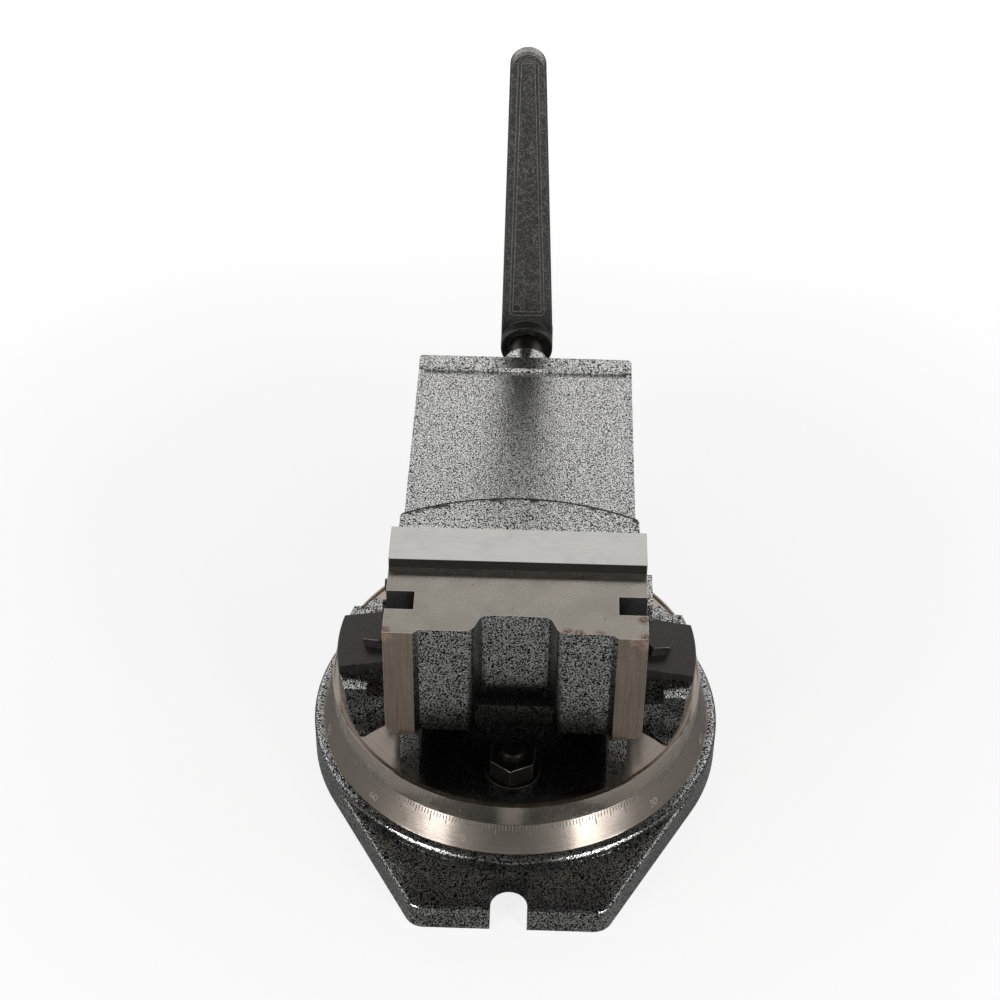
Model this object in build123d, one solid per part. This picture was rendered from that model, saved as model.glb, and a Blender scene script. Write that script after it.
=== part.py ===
from build123d import *
from math import cos, radians, sqrt, tan
import os

# Frame: +Z up, the swivel axis is Z, the base's underside is z = 0.
# The fixed jaw is at the -Y end and the crank handle at the +Y end. All lengths are in millimetres.

# Fits, as gaps on one side.
slide_gap = 0.05
shaft_gap = 0.05
screw_gap = 0.04
guide_gap = 0.3
hole_gap = 0.3

# Jaws and the faces that set the vise's height.
jaw_width = 100.0
jaw_plate_thickness = 9.5
jaw_line_offset = 9.0
jaw_plate_rise = 4.5
fixed_block_depth = 36.3
plate_edge_chamfer = 0.1

# Base casting.
base_half_length = 105.0
ear_round_half_spacing = 33.0
ear_corner_radius = 8.0
ear_thickness = 12.0
ear_edge_round = 1.5
base_slot_width = 14.5
base_slot_depth = 18.5
collar_radius = 84.5
collar_height = 16.5
collar_edge_round = 2.4
dial_bottom_radius = 81.2
dial_radius = 76.0
base_height = 28.0
tee_circle_radius = 55.5
tee_floor_height = 8.0
tee_head_cavity_width = 18.4
tee_head_cavity_height = 8.0

# Swivel table.
table_thickness = 10.0
spigot_radius = 20.0
spigot_depth = 13.0
groove_outer_radius = 75.4
groove_inner_radius = 73.9
groove_depth = 1.5
floor_radius = 70.6
floor_depth = 1.5

# Lugs of the swivel table and the clamp straps on them.
lug_inner_offset = 51.0
lug_step_offset = 60.0
lug_foot_radius = 73.6
lug_top_radius = 73.0
lug_tip_half_span = 40.0
lug_root_half_span = 31.0
lug_centre_offset = 56.0
lug_rise = 12.55
lug_shoulder_half_span = 24.5
lug_shoulder_rise = 10.5
lug_foot_rise = 6.5
lug_lip = 0.8
lug_neck_half_span = 17.5
strap_slope_angle = 10.0
strap_inner_offset = 46.4
strap_outer_radius = 73.6
strap_half_width = 15.0
strap_thickness = 4.2
ledge_offset = 49.5
ledge_half_length = 16.0

# Vise body: rails, ways and fixed jaw block. It stands body_height high on the table.
# Drops and the block's rise are measured from the ways, the overhang's rise from the table.
rail_offset = 44.4
rail_inner_offset = 37.0
rail_front = 56.0
bed_rear = 109.0
overhang_start = 60.0
overhang_rise = 6.0
body_height = 41.0
block_rise = 31.0
way_thickness = 10.0
way_inner_offset = 27.0
rear_web_thickness = 8.0
rear_web_height = 16.0
leg_drop = 22.8
leg_inner_offset = 38.6
leg_corner_round = 4.0
lobe_drop = 22.6
lobe_offset = 36.5
lobe_setback = 1.9
lobe_inner_offset = 16.6
lobe_round = 4.4
channel_offset = 13.0
channel_setback = 10.8
rib_setback = 4.8
rib_drop = 11.2
notch_width = 10.0
notch_depth = 11.0
notch_height = 14.0
notch_flange = 13.0

# Moving jaw. Its rises and drop are measured from the ways.
travel = 80.0
moving_block_offset = 47.6
moving_block_side_depth = 13.0
moving_block_arch_depth = 24.5
moving_block_corner_round = 3.0
moving_wall_thickness = 8.5
hood_offset = 46.1
hood_wall = 5.0
hood_rise = 28.6
hood_ceiling_thickness = 4.0
hood_rim_width = 2.2
hood_rim_rise = 1.0
rear_band_rise = 1.9
rear_band_depth = 8.1
hood_rear = 120.4
hood_edge_round = 2.0
skirt_drop = 9.5
skirt_rise = 5.0
skirt_right_offset = 54.0
skirt_left_offset = 50.0
skirt_front_gap = 1.0
skirt_rear = 13.5
skirt_round = 6.0
tongue_inner_offset = 19.0
boss_radius = 11.1
boss_length = 16.6

# Gib on the left side and the keepers below the ways.
gib_thickness = 2.5
gib_height = 8.4
gib_screw_radius = 2.6
gib_screw_rise = 4.3
gib_screw_shares = (0.26, 0.84)
keeper_thickness = 7.3
keeper_offset = 34.5
keeper_length = 31.0

# Lead screw and the pieces on it.
screw_rise = 12.3
screw_radius = 8.0
journal_radius = 6.0
screw_tip_gap = 3.0
screw_tip_chamfer = 1.2
nut_front_gap = 1.0
nut_half_width = 13.5
nut_top_gap = 1.0
nut_foot_offset = 35.0
nut_foot_height = 7.0
thrust_washer_radius = 10.5
thrust_washer_thickness = 2.2
shaft_collar_radius = 8.0
shaft_collar_length = 14.2
collar_setscrew_radius = 2.0

# Crank handle.
handle_length = 146.5
handle_lean_angle = 0.75
handle_thickness = 6.2
handle_tip_half_width = 7.5
handle_hub_radius = 11.7
handle_hub_length = 16.8
hub_edge_round = 0.8
hub_mouth_radius = 8.0
hub_mouth_depth = 4.5
handle_panel_depth = 1.2
handle_panel_slope_angle = 45.0
handle_panel_margin = 3.5
handle_panel_start = 14.9
handle_panel_end_gap = 4.1
handle_panel_round = 2.0
handle_edge_round = 1.2
handle_pin_radius = 2.0
shaft_end_rise = 1.5

# Fasteners.
swivel_bolt_radius = 5.0
swivel_nut_half_flats = 8.5
swivel_nut_height = 8.0
swivel_nut_turn_angle = 25.0
swivel_washer_radius = 11.0
swivel_washer_thickness = 2.0
swivel_bolt_rise = 3.5
tee_head_height = 7.0
strap_bolt_radius = 4.0
strap_bolt_half_flats = 6.5
strap_bolt_head_height = 4.6
strap_bolt_turn_angle = 15.0
strap_bolt_reach = 16.0
plate_screw_radius = 3.0
plate_screw_offset = 30.0
plate_screw_reach = 7.0
plate_screw_height_share = 0.5
small_screw_radius = 2.5
nut_screw_reach = 8.0
nut_screw_offset = 31.0
nut_screw_shares = (0.24, 0.76)
keeper_screw_shares = (0.22, 0.78)
cap_head_sink = 0.5
cap_head_radius_share = 1.68
cap_head_height_share = 1.84
cap_socket_radius_share = 0.82
cap_socket_depth_share = 0.5
hole_end_gap = 0.6
hex_chamfer = 0.8

# Planes and places that follow from the sizes above.
block_front = jaw_line_offset + jaw_plate_thickness + fixed_block_depth
block_face = jaw_line_offset + jaw_plate_thickness
jaw_half_width = jaw_width / 2
table_bottom = base_height + slide_gap
table_top = base_height + table_thickness
floor_height = table_top - floor_depth
lug_centre_height = table_top + lug_rise
overhang_height = table_top + overhang_rise
rear_web_top = overhang_height + rear_web_height
way_height = table_top + body_height
fixed_block_top = way_height + block_rise
leg_bottom = way_height - leg_drop
lobe_bottom = way_height - lobe_drop
rib_top = way_height - rib_drop
skirt_bottom = way_height - skirt_drop
skirt_top = way_height + skirt_rise
hood_top = way_height + hood_rise
screw_height = way_height + screw_rise
plate_top = fixed_block_top + jaw_plate_rise
plate_bottom = way_height + guide_gap
moving_face = jaw_plate_thickness - jaw_line_offset
moving_wall_rear = moving_face + moving_wall_thickness
jaw_bottom = way_height + slide_gap
hood_ceiling = hood_top - hood_ceiling_thickness
rear_wall_inner = hood_rear - rear_band_depth
boss_end = hood_rear + boss_length
nut_front = moving_wall_rear + travel + nut_front_gap
nut_top = hood_ceiling - nut_top_gap
screw_tip = moving_wall_rear + screw_tip_gap
washer_front = rear_wall_inner - slide_gap - thrust_washer_thickness
collar_front = boss_end + slide_gap
hub_front = collar_front + shaft_collar_length + slide_gap
hub_rear = hub_front + handle_hub_length
handle_centre = hub_front + handle_hub_length / 2
keeper_top = way_height - way_thickness - slide_gap
keeper_bottom = keeper_top - keeper_thickness
tongue_offset = way_inner_offset - guide_gap
skirt_front = -jaw_line_offset + skirt_front_gap
gib_inner = rail_offset + slide_gap
gib_outer = gib_inner + gib_thickness
plate_screw_height = plate_bottom + (plate_top - plate_bottom) * plate_screw_height_share
plate_screw_sink = plate_screw_radius * cap_head_height_share + cap_head_sink
small_head_height = small_screw_radius * cap_head_height_share
far = base_half_length * 2


def block(left, right, front, rear, low, high):
    """Box between two planes on each axis."""
    size = Box(right - left, rear - front, high - low)
    return Pos((left + right) / 2, (front + rear) / 2, (low + high) / 2) * size


def rod_up(x, y, low, high, radius):
    """Round bar along Z."""
    return Pos(x, y, (low + high) / 2) * Cylinder(radius, high - low)


def rod_back(x, z, front, rear, radius):
    """Round bar along Y."""
    return Pos(x, (front + rear) / 2, z) * Rot(90, 0, 0) * Cylinder(radius, rear - front)


def rod_across(y, z, left, right, radius):
    """Round bar along X."""
    return Pos((left + right) / 2, y, z) * Rot(0, 90, 0) * Cylinder(radius, right - left)


def prism(points, low, high):
    """Upright prism on a closed outline of points."""
    outline = make_face(Polyline(*points, close=True))
    return Pos(0, 0, low) * extrude(outline, high - low)


def hexagon_bar(half_flats, height):
    """Hexagonal bar standing on the XY plane."""
    return extrude(RegularPolygon(half_flats, 6, major_radius=False), height)


def chamfered_hexagon(half_flats, height):
    """Hexagonal head or nut whose top corners are turned off."""
    corner = half_flats / cos(radians(30))
    cone_height = (corner + hex_chamfer) * tan(radians(30))
    cone_low = height - hex_chamfer
    bar = hexagon_bar(half_flats, height)
    turned = rod_up(0, 0, 0, cone_low, corner + hex_chamfer)
    turned += Pos(0, 0, cone_low + cone_height / 2) * Cone(corner + hex_chamfer, 0, cone_height)
    return bar & turned


def cap_screw(radius, reach):
    """Socket cap screw, its head resting on the XY plane from above and its shank below."""
    head_height = radius * cap_head_height_share
    socket_depth = head_height * cap_socket_depth_share
    head = rod_up(0, 0, 0, head_height, radius * cap_head_radius_share)
    shank = rod_up(0, 0, -reach, 0, radius)
    socket = hexagon_bar(radius * cap_socket_radius_share, socket_depth)
    return head + shank - Pos(0, 0, head_height - socket_depth) * socket


def cap_screw_hole(radius, reach, depth):
    """Hole for that screw, its head sunk to the given depth."""
    head = rod_up(0, 0, 0, depth, radius * cap_head_radius_share + hole_gap)
    shank = rod_up(0, 0, -reach - hole_end_gap, 0, radius + screw_gap)
    return head + shank


def save(name, shape):
    """Writes one node's solids to its own file."""
    solids = []
    for item in shape if isinstance(shape, (list, tuple)) else [shape]:
        solids.extend(item.solids())
    node = solids[0] if len(solids) == 1 else Compound(children=solids)
    node.label = name
    export_step(node, f"parts/{name}.step")


def base_casting():
    """Eared base with the graduated cone and the ring slot for the swivel bolts."""
    circles = [Circle(collar_radius)]
    centre_y = base_half_length - ear_corner_radius
    for side in (-1, 1):
        for end in (-1, 1):
            circles.append(Pos(side * ear_round_half_spacing, end * centre_y) * Circle(ear_corner_radius))
    edges = []
    for circle in circles:
        edges.extend(circle.edges())
    plate = extrude(make_hull(edges), ear_thickness)
    plate = fillet(plate.faces().sort_by(Axis.Z)[-1].edges(), ear_edge_round)
    collar = rod_up(0, 0, 0, collar_height, collar_radius)
    collar = fillet(collar.faces().sort_by(Axis.Z)[-1].edges(), collar_edge_round)
    casting = plate + collar
    dial_height = base_height - collar_height
    dial = Cone(dial_bottom_radius, dial_radius, dial_height)
    casting += Pos(0, 0, collar_height + dial_height / 2) * dial
    for end in (-1, 1):
        slot_centre = base_half_length - base_slot_depth + base_slot_width / 2
        casting -= rod_up(0, end * slot_centre, 0, collar_height, base_slot_width / 2)
        ends = sorted((end * slot_centre, end * far))
        casting -= block(-base_slot_width / 2, base_slot_width / 2, ends[0], ends[1], 0, collar_height)
    neck = swivel_bolt_radius + hole_gap
    neck_ring = Circle(tee_circle_radius + neck) - Circle(tee_circle_radius - neck)
    head_half = tee_head_cavity_width / 2
    head_ring = Circle(tee_circle_radius + head_half) - Circle(tee_circle_radius - head_half)
    cavity_top = tee_floor_height + tee_head_cavity_height
    casting -= Pos(0, 0, cavity_top) * extrude(neck_ring, base_height - cavity_top)
    casting -= Pos(0, 0, tee_floor_height) * extrude(head_ring, tee_head_cavity_height)
    for side in (-1, 1):
        entry_x = side * tee_circle_radius
        casting -= rod_up(entry_x, 0, tee_floor_height, base_height, head_half * sqrt(2))
    bore_bottom = table_bottom - spigot_depth - hole_end_gap
    casting -= rod_up(0, 0, bore_bottom, base_height, spigot_radius + shaft_gap)
    return casting


def strap_frame(side):
    """Sloping frame on a lug's top, the outer end lower."""
    return Pos(side * lug_centre_offset, 0, lug_centre_height) * Rot(0, side * strap_slope_angle, 0)


def above_slope(side):
    """Everything above the sloping plane that the lug and the ledge share."""
    return strap_frame(side) * block(-far, far, -far, far, 0, far)


def strap_bolt_place(side):
    """Frame of a strap's bolt, at the strap's top face."""
    return strap_frame(side) * Pos(0, 0, strap_thickness)


def lug_profile(shoulder_rise):
    """Lug seen along X: a foot that flares out to both tips, a shoulder of this rise and the neck."""
    high = table_top + lug_rise * 2
    tip = (lug_tip_half_span, table_top + lug_lip)
    shoulder = (lug_shoulder_half_span, table_top + shoulder_rise)
    half = make_face(
        [
            Line((0, table_top), (lug_tip_half_span, table_top)),
            Line((lug_tip_half_span, table_top), tip),
            TangentArc(tip, shoulder, tangent=(-1, 0)),
            Line(shoulder, (lug_neck_half_span, shoulder[1])),
            Line((lug_neck_half_span, shoulder[1]), (lug_neck_half_span, high)),
            Line((lug_neck_half_span, high), (0, high)),
            Line((0, high), (0, table_top)),
        ]
    )
    return Plane.YZ * (half + mirror(half, about=Plane.YZ))


def lug(side):
    """Cast lug: a low flared foot, a raised outer shoulder and a neck with a sloping top."""
    high = table_top + lug_rise * 2
    tip_offset = lug_inner_offset + lug_tip_half_span - lug_root_half_span
    plan = [
        (side * lug_inner_offset, -lug_root_half_span),
        (side * tip_offset, -lug_tip_half_span),
        (side * lug_foot_radius * sqrt(2), -lug_tip_half_span),
        (side * lug_foot_radius * sqrt(2), lug_tip_half_span),
        (side * tip_offset, lug_tip_half_span),
        (side * lug_inner_offset, lug_root_half_span),
    ]
    step = sorted((side * lug_step_offset, side * far))
    casting = extrude(lug_profile(lug_shoulder_rise), far, both=True)
    casting &= block(step[0], step[1], -far, far, 0, high)
    casting += extrude(lug_profile(lug_foot_rise), far, both=True)
    taper = (lug_foot_radius - lug_top_radius) * 2
    cone = Pos(0, 0, table_top + lug_rise) * Cone(lug_foot_radius, lug_foot_radius - taper, lug_rise * 2)
    casting &= prism(plan, table_top, high) & cone
    return casting - above_slope(side)


def swivel_table():
    """Round table that turns on the base, with the two lugs for the clamp straps."""
    table = rod_up(0, 0, table_bottom, table_top, dial_radius)
    table += rod_up(0, 0, table_bottom - spigot_depth, table_bottom, spigot_radius)
    groove = Circle(groove_outer_radius) - Circle(groove_inner_radius)
    table -= Pos(0, 0, table_top - groove_depth) * extrude(groove, groove_depth)
    floor = rod_up(0, 0, floor_height, table_top, floor_radius)
    floor &= block(-rail_inner_offset, rail_inner_offset, -far, far, 0, table_top)
    table -= floor
    for side in (-1, 1):
        table += lug(side)
        depth = strap_bolt_reach - strap_thickness + hole_end_gap
        table -= strap_frame(side) * rod_up(0, 0, -depth, 0, strap_bolt_radius + screw_gap)
    for end in (-1, 1):
        hole = swivel_bolt_radius + hole_gap
        table -= rod_up(0, end * tee_circle_radius, 0, table_top, hole)
    return table


def clamp_strap(side):
    """Black steel strap whose inner end grips the vise body's ledge."""
    inner = strap_inner_offset - lug_centre_offset
    outer = strap_outer_radius - lug_centre_offset
    ends = sorted((side * inner, side * outer * sqrt(2)))
    strap = block(ends[0], ends[1], -strap_half_width, strap_half_width, 0, strap_thickness)
    strap -= rod_up(0, 0, 0, strap_thickness, strap_bolt_radius + hole_gap)
    return (strap_frame(side) * strap) & rod_up(0, 0, 0, far, strap_outer_radius)


def strap_bolt(side):
    """Hexagon bolt square to the strap."""
    head = chamfered_hexagon(strap_bolt_half_flats, strap_bolt_head_height)
    head = Rot(0, 0, side * strap_bolt_turn_angle) * head
    shank = rod_up(0, 0, -strap_bolt_reach, 0, strap_bolt_radius)
    return strap_bolt_place(side) * (head + shank)


def swivel_bolt(end):
    """Bolt with a square head in the ring slot."""
    y = end * tee_circle_radius
    head_top = tee_floor_height + tee_head_cavity_height - slide_gap
    head_bottom = head_top - tee_head_height
    head_half = tee_head_cavity_width / 2 * cos(radians(strap_slope_angle)) - hole_gap
    top = floor_height + swivel_washer_thickness + swivel_nut_height + swivel_bolt_rise
    head = block(-head_half, head_half, y - head_half, y + head_half, head_bottom, head_top)
    inner_ring = tee_circle_radius - tee_head_cavity_width / 2 + hole_gap
    outer_ring = tee_circle_radius + tee_head_cavity_width / 2 - hole_gap
    ring = Pos(0, 0, head_bottom) * extrude(Circle(outer_ring) - Circle(inner_ring), tee_head_height)
    stem = rod_up(0, y, head_top, top, swivel_bolt_radius)
    stem = chamfer(stem.faces().sort_by(Axis.Z)[-1].edges(), hex_chamfer)
    return (head & ring) + stem


def swivel_washer(end):
    """Plain washer on the table's floor."""
    washer = rod_up(0, 0, 0, swivel_washer_thickness, swivel_washer_radius)
    washer -= rod_up(0, 0, 0, swivel_washer_thickness, swivel_bolt_radius + hole_gap)
    return Pos(0, end * tee_circle_radius, floor_height) * washer


def swivel_nut(end):
    """Hexagon nut that locks the swivel."""
    nut = chamfered_hexagon(swivel_nut_half_flats, swivel_nut_height)
    nut -= rod_up(0, 0, 0, swivel_nut_height, swivel_bolt_radius + shaft_gap)
    nut = Rot(0, 0, swivel_nut_turn_angle) * nut
    return Pos(0, end * tee_circle_radius, floor_height + swivel_washer_thickness) * nut


def fixed_block():
    """Fixed jaw block: two lobes with a recess and a rib between them, side notches and hanging ends."""
    half = [
        (0, -(block_front - channel_setback)),
        (channel_offset, -(block_front - channel_setback)),
        (lobe_inner_offset, -(block_front - lobe_setback)),
        (lobe_offset, -(block_front - lobe_setback)),
        (leg_inner_offset, -block_front),
        (jaw_half_width, -block_front),
        (jaw_half_width, -block_face),
        (0, -block_face),
    ]
    right = prism(half, leg_bottom, fixed_block_top)
    lobe_edges = []
    for edge in right.edges().filter_by(Axis.Z):
        x = edge.center().X
        front = edge.center().Y < -block_front / 2
        if front and channel_offset <= x + slide_gap and x < lobe_offset - slide_gap:
            lobe_edges.append(edge)
    right = fillet(lobe_edges, lobe_round)
    right -= block(0, leg_inner_offset, -far, 0, leg_bottom, lobe_bottom)
    right += block(0, lobe_inner_offset, -block_front + rib_setback, -block_face, lobe_bottom, rib_top)
    foot_edges = []
    for edge in right.edges().filter_by(Axis.Y):
        low = edge.center().Z < leg_bottom + slide_gap
        if low and edge.center().X > jaw_half_width - slide_gap:
            foot_edges.append(edge)
    right = fillet(foot_edges, leg_corner_round)
    notch_front = -block_front + notch_flange
    notch_inner = jaw_half_width - notch_depth
    notch_floor = fixed_block_top - notch_height
    notch_rear = notch_front + notch_width
    right -= block(notch_inner, far, notch_front, notch_rear, notch_floor, far)
    return right + mirror(right, Plane.YZ)


def vise_body():
    """Bed casting: two rails, the ways on them, the strap ledges and the fixed jaw block."""
    body = fixed_block()
    under_way = way_height - way_thickness
    rail_start = -block_front + lobe_setback
    way_start = -block_front + channel_setback
    for side in (-1, 1):
        rail = sorted((side * rail_inner_offset, side * rail_offset))
        way = sorted((side * way_inner_offset, side * rail_offset))
        ledge = sorted((side * rail_inner_offset, side * ledge_offset))
        body += block(rail[0], rail[1], -rail_front, overhang_start, table_top, leg_bottom)
        body += block(rail[0], rail[1], rail_start, overhang_start, leg_bottom, way_height)
        body += block(rail[0], rail[1], overhang_start, bed_rear, overhang_height, way_height)
        body += block(way[0], way[1], way_start, bed_rear, under_way, way_height)
        ledge_ends = (-ledge_half_length, ledge_half_length)
        strap_ledge = block(ledge[0], ledge[1], *ledge_ends, table_top, way_height)
        strap_ledge -= above_slope(side)
        body += strap_ledge
    web_front = bed_rear - rear_web_thickness
    body += block(-rail_offset, rail_offset, web_front, bed_rear, overhang_height, rear_web_top)
    for x, y in nut_screw_places():
        hole_bottom = way_height - nut_screw_reach - hole_end_gap
        body -= rod_up(x, y, hole_bottom, way_height, small_screw_radius + screw_gap)
    for x in (-plate_screw_offset, plate_screw_offset):
        hole_front = -block_face - plate_screw_reach - hole_end_gap
        body -= rod_back(x, plate_screw_height, hole_front, -block_face, plate_screw_radius + screw_gap)
    return body


def jaw_plate():
    """Ground jaw plate standing on the XZ plane with its back at y = 0 and its face towards -Y."""
    plate = block(-jaw_half_width, jaw_half_width, -jaw_plate_thickness, 0, plate_bottom, plate_top)
    plate = chamfer(plate.edges(), plate_edge_chamfer)
    for place in plate_screw_places():
        plate -= place * cap_screw_hole(plate_screw_radius, jaw_plate_thickness, plate_screw_sink)
    return plate


def plate_screw_places():
    """Frames of that plate's screws, at the seats of their heads."""
    seat = -jaw_plate_thickness + plate_screw_sink
    places = []
    for x in (-plate_screw_offset, plate_screw_offset):
        places.append(Pos(x, seat, plate_screw_height) * Rot(90, 0, 0))
    return places


def jaw_plate_screws():
    """Screws of that plate."""
    reach = jaw_plate_thickness - plate_screw_sink + plate_screw_reach
    return [place * cap_screw(plate_screw_radius, reach) for place in plate_screw_places()]


def to_moving_side(shape):
    """Brings the plate or its screws from y = 0 to the moving jaw's face."""
    return Pos(0, moving_face, 0) * shape


def to_fixed_side(shape):
    """Turns the plate or its screws round onto the fixed jaw's face."""
    return Pos(0, -block_face, 0) * Rot(0, 0, 180) * shape


def moving_jaw():
    """Moving jaw casting: front wall, arched top, long hood with a rear wall and a bearing boss."""
    wall_top = fixed_block_top
    half = moving_block_offset
    jaw = block(-half, half, moving_face, moving_wall_rear, jaw_bottom, wall_top)
    side_rear = moving_face + moving_block_side_depth
    arch_rear = moving_face + moving_block_arch_depth
    arch = make_face(
        [
            Line((-half, moving_face), (half, moving_face)),
            Line((half, moving_face), (half, side_rear)),
            ThreePointArc((half, side_rear), (0, arch_rear), (-half, side_rear)),
            Line((-half, side_rear), (-half, moving_face)),
        ]
    )
    corners = [corner for corner in arch.vertices() if corner.Y > moving_face + slide_gap]
    arch = fillet(corners, moving_block_corner_round)
    jaw += Pos(0, 0, hood_ceiling) * extrude(arch, wall_top - hood_ceiling)
    for side in (-1, 1):
        cheek = sorted((side * (hood_offset - hood_wall), side * half))
        sides = block(cheek[0], cheek[1], moving_face, side_rear, jaw_bottom, wall_top)
        jaw += sides & (Pos(0, 0, jaw_bottom) * extrude(arch, wall_top - jaw_bottom))
    hood = block(-hood_offset, hood_offset, moving_face, hood_rear, jaw_bottom, hood_top + hood_rim_rise)
    inner = hood_offset - hood_wall
    hood -= block(-inner, inner, moving_wall_rear, rear_wall_inner, jaw_bottom, hood_ceiling)
    tray = hood_offset - hood_rim_width
    hood -= block(-tray, tray, moving_face, rear_wall_inner, hood_top, far)
    band_top = hood_top + rear_band_rise
    hood += block(-hood_offset, hood_offset, rear_wall_inner, hood_rear, hood_top, band_top)
    round_edges = []
    for edge in hood.edges().filter_by(Axis.Z):
        if edge.center().Y > hood_rear - slide_gap:
            round_edges.append(edge)
    hood = fillet(round_edges, hood_edge_round)
    jaw += hood
    jaw += rod_back(0, screw_height, rear_wall_inner, boss_end, boss_radius)
    right_skirt = block(
        rail_offset + slide_gap, skirt_right_offset, skirt_front, skirt_rear, skirt_bottom, skirt_top
    )
    left_skirt = block(
        -skirt_left_offset, -gib_outer - slide_gap, skirt_front, skirt_rear, skirt_bottom, skirt_top
    )
    top_edges = right_skirt.edges().filter_by(Axis.X).group_by(Axis.Z)[-1].sort_by(Axis.Y)
    right_skirt = fillet(top_edges[-1], skirt_round)
    jaw += right_skirt
    jaw += left_skirt
    jaw += block(-gib_outer, -rail_offset, skirt_front, skirt_rear, jaw_bottom, skirt_top)
    jaw -= block(-far, far, -far, moving_face, plate_bottom - guide_gap, far) & block(
        -jaw_half_width - guide_gap, jaw_half_width + guide_gap, -far, moving_face, 0, far
    )
    for side in (-1, 1):
        tongue = sorted((side * tongue_inner_offset, side * tongue_offset))
        jaw += block(tongue[0], tongue[1], skirt_front, moving_wall_rear, keeper_top, jaw_bottom)
    jaw -= rod_back(0, screw_height, rear_wall_inner - hood_wall, boss_end, journal_radius + shaft_gap)
    for x in (-plate_screw_offset, plate_screw_offset):
        hole_rear = moving_face + plate_screw_reach + hole_end_gap
        jaw -= rod_back(x, plate_screw_height, moving_face, hole_rear, plate_screw_radius + screw_gap)
    for x, y in keeper_screw_places():
        jaw -= rod_up(x, y, keeper_top, jaw_bottom, small_screw_radius + screw_gap)
    for y, z in gib_screw_places():
        jaw -= rod_across(y, z, -skirt_left_offset, -gib_outer, gib_screw_radius + screw_gap)
    return jaw


def keeper_screw_places():
    """Places of the screws that hold the keepers to the tongues."""
    places = []
    centre = (tongue_inner_offset + tongue_offset) / 2
    for x in (-centre, centre):
        for share in keeper_screw_shares:
            places.append((x, skirt_front + (moving_wall_rear - skirt_front) * share))
    return places


def gib_screw_places():
    """Places of the screws that press on the gib."""
    length = skirt_rear - skirt_front
    height = skirt_bottom + (way_height - skirt_bottom) / 2
    return [(skirt_front + length * share, height) for share in gib_screw_shares]


def nut_screw_places():
    """Places of the screws that hold the feed nut to the ways."""
    places = []
    for x in (-nut_screw_offset, nut_screw_offset):
        for share in nut_screw_shares:
            places.append((x, nut_front + (bed_rear - nut_front) * share))
    return places


def feed_nut():
    """Bronze nut standing on the ways below the hood."""
    nut = block(-nut_half_width, nut_half_width, nut_front, bed_rear, way_height, nut_top)
    foot_top = way_height + nut_foot_height
    nut += block(-nut_foot_offset, nut_foot_offset, nut_front, bed_rear, way_height, foot_top)
    nut -= rod_back(0, screw_height, nut_front, bed_rear, screw_radius + shaft_gap)
    for x, y in nut_screw_places():
        nut -= rod_up(x, y, way_height, foot_top, small_screw_radius + hole_gap)
    return nut


def lead_screw():
    """Screw with its journal, which passes through the boss and the handle's hub."""
    screw = rod_back(0, screw_height, screw_tip, washer_front, screw_radius)
    screw = chamfer(screw.edges().sort_by(Axis.Y)[0], screw_tip_chamfer)
    shaft_end = hub_rear + shaft_end_rise
    journal = rod_back(0, screw_height, washer_front, shaft_end, journal_radius)
    journal = chamfer(journal.faces().sort_by(Axis.Y)[-1].edges(), hex_chamfer)
    screw += journal
    screw -= rod_across(pin_place(), screw_height, -journal_radius, journal_radius, handle_pin_radius)
    return screw


def pin_place():
    """Distance of the handle's pin along the screw."""
    return hub_front + hub_mouth_depth + (handle_hub_length - hub_mouth_depth) / 2


def handle_outline(tip_half_width, root_half_width, low, high):
    """Tapered outline with a round top, drawn on the XY plane, its root at the origin."""
    straight = high - tip_half_width
    return make_face(
        [
            Line((-root_half_width, low), (root_half_width, low)),
            Line((root_half_width, low), (tip_half_width, straight)),
            ThreePointArc((tip_half_width, straight), (0, high), (-tip_half_width, straight)),
            Line((-tip_half_width, straight), (-root_half_width, low)),
        ]
    )


def crank_handle():
    """Flat tapered lever with a round hub and a panel with sloping sides sunk in its front and back."""
    outline = handle_outline(handle_tip_half_width, handle_hub_radius, 0, handle_length)
    lever = extrude(outline, handle_thickness)
    lever = fillet(lever.faces().sort_by(Axis.Z)[-1].edges(), handle_edge_round)
    lever = fillet(lever.faces().sort_by(Axis.Z)[0].edges(), handle_edge_round)
    tip = handle_tip_half_width - handle_panel_margin
    root = handle_hub_radius - handle_panel_margin
    slope = (handle_hub_radius - handle_tip_half_width) / (handle_length - handle_tip_half_width)
    panel_top = handle_length - handle_panel_end_gap
    points = [
        (-(root - slope * handle_panel_start), handle_panel_start),
        (root - slope * handle_panel_start, handle_panel_start),
        (tip, panel_top),
        (-tip, panel_top),
    ]
    panel = make_face(Polyline(*points, close=True))
    panel = fillet(panel.vertices(), handle_panel_round)
    sunk = extrude(panel, handle_panel_depth, taper=handle_panel_slope_angle)
    lever -= sunk
    lever -= Pos(0, 0, handle_thickness) * mirror(sunk, Plane.XY)
    lever = Rot(0, -handle_lean_angle, 0) * Rot(90, 0, 0) * lever
    lever = Pos(0, handle_centre + handle_thickness / 2, screw_height) * lever
    hub = rod_back(0, screw_height, hub_front, hub_rear, handle_hub_radius)
    hub = fillet(hub.edges().filter_by(GeomType.CIRCLE), hub_edge_round)
    lever += hub
    lever -= rod_back(0, screw_height, hub_front, hub_front + hub_mouth_depth, hub_mouth_radius)
    lever -= rod_back(0, screw_height, hub_front, hub_rear, journal_radius + screw_gap)
    lever -= rod_across(pin_place(), screw_height, -far, far, handle_pin_radius)
    return lever


def handle_pin():
    """Pin through the hub and the shaft."""
    half = handle_hub_radius - hub_edge_round
    return rod_across(pin_place(), screw_height, -half, half, handle_pin_radius)


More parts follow.
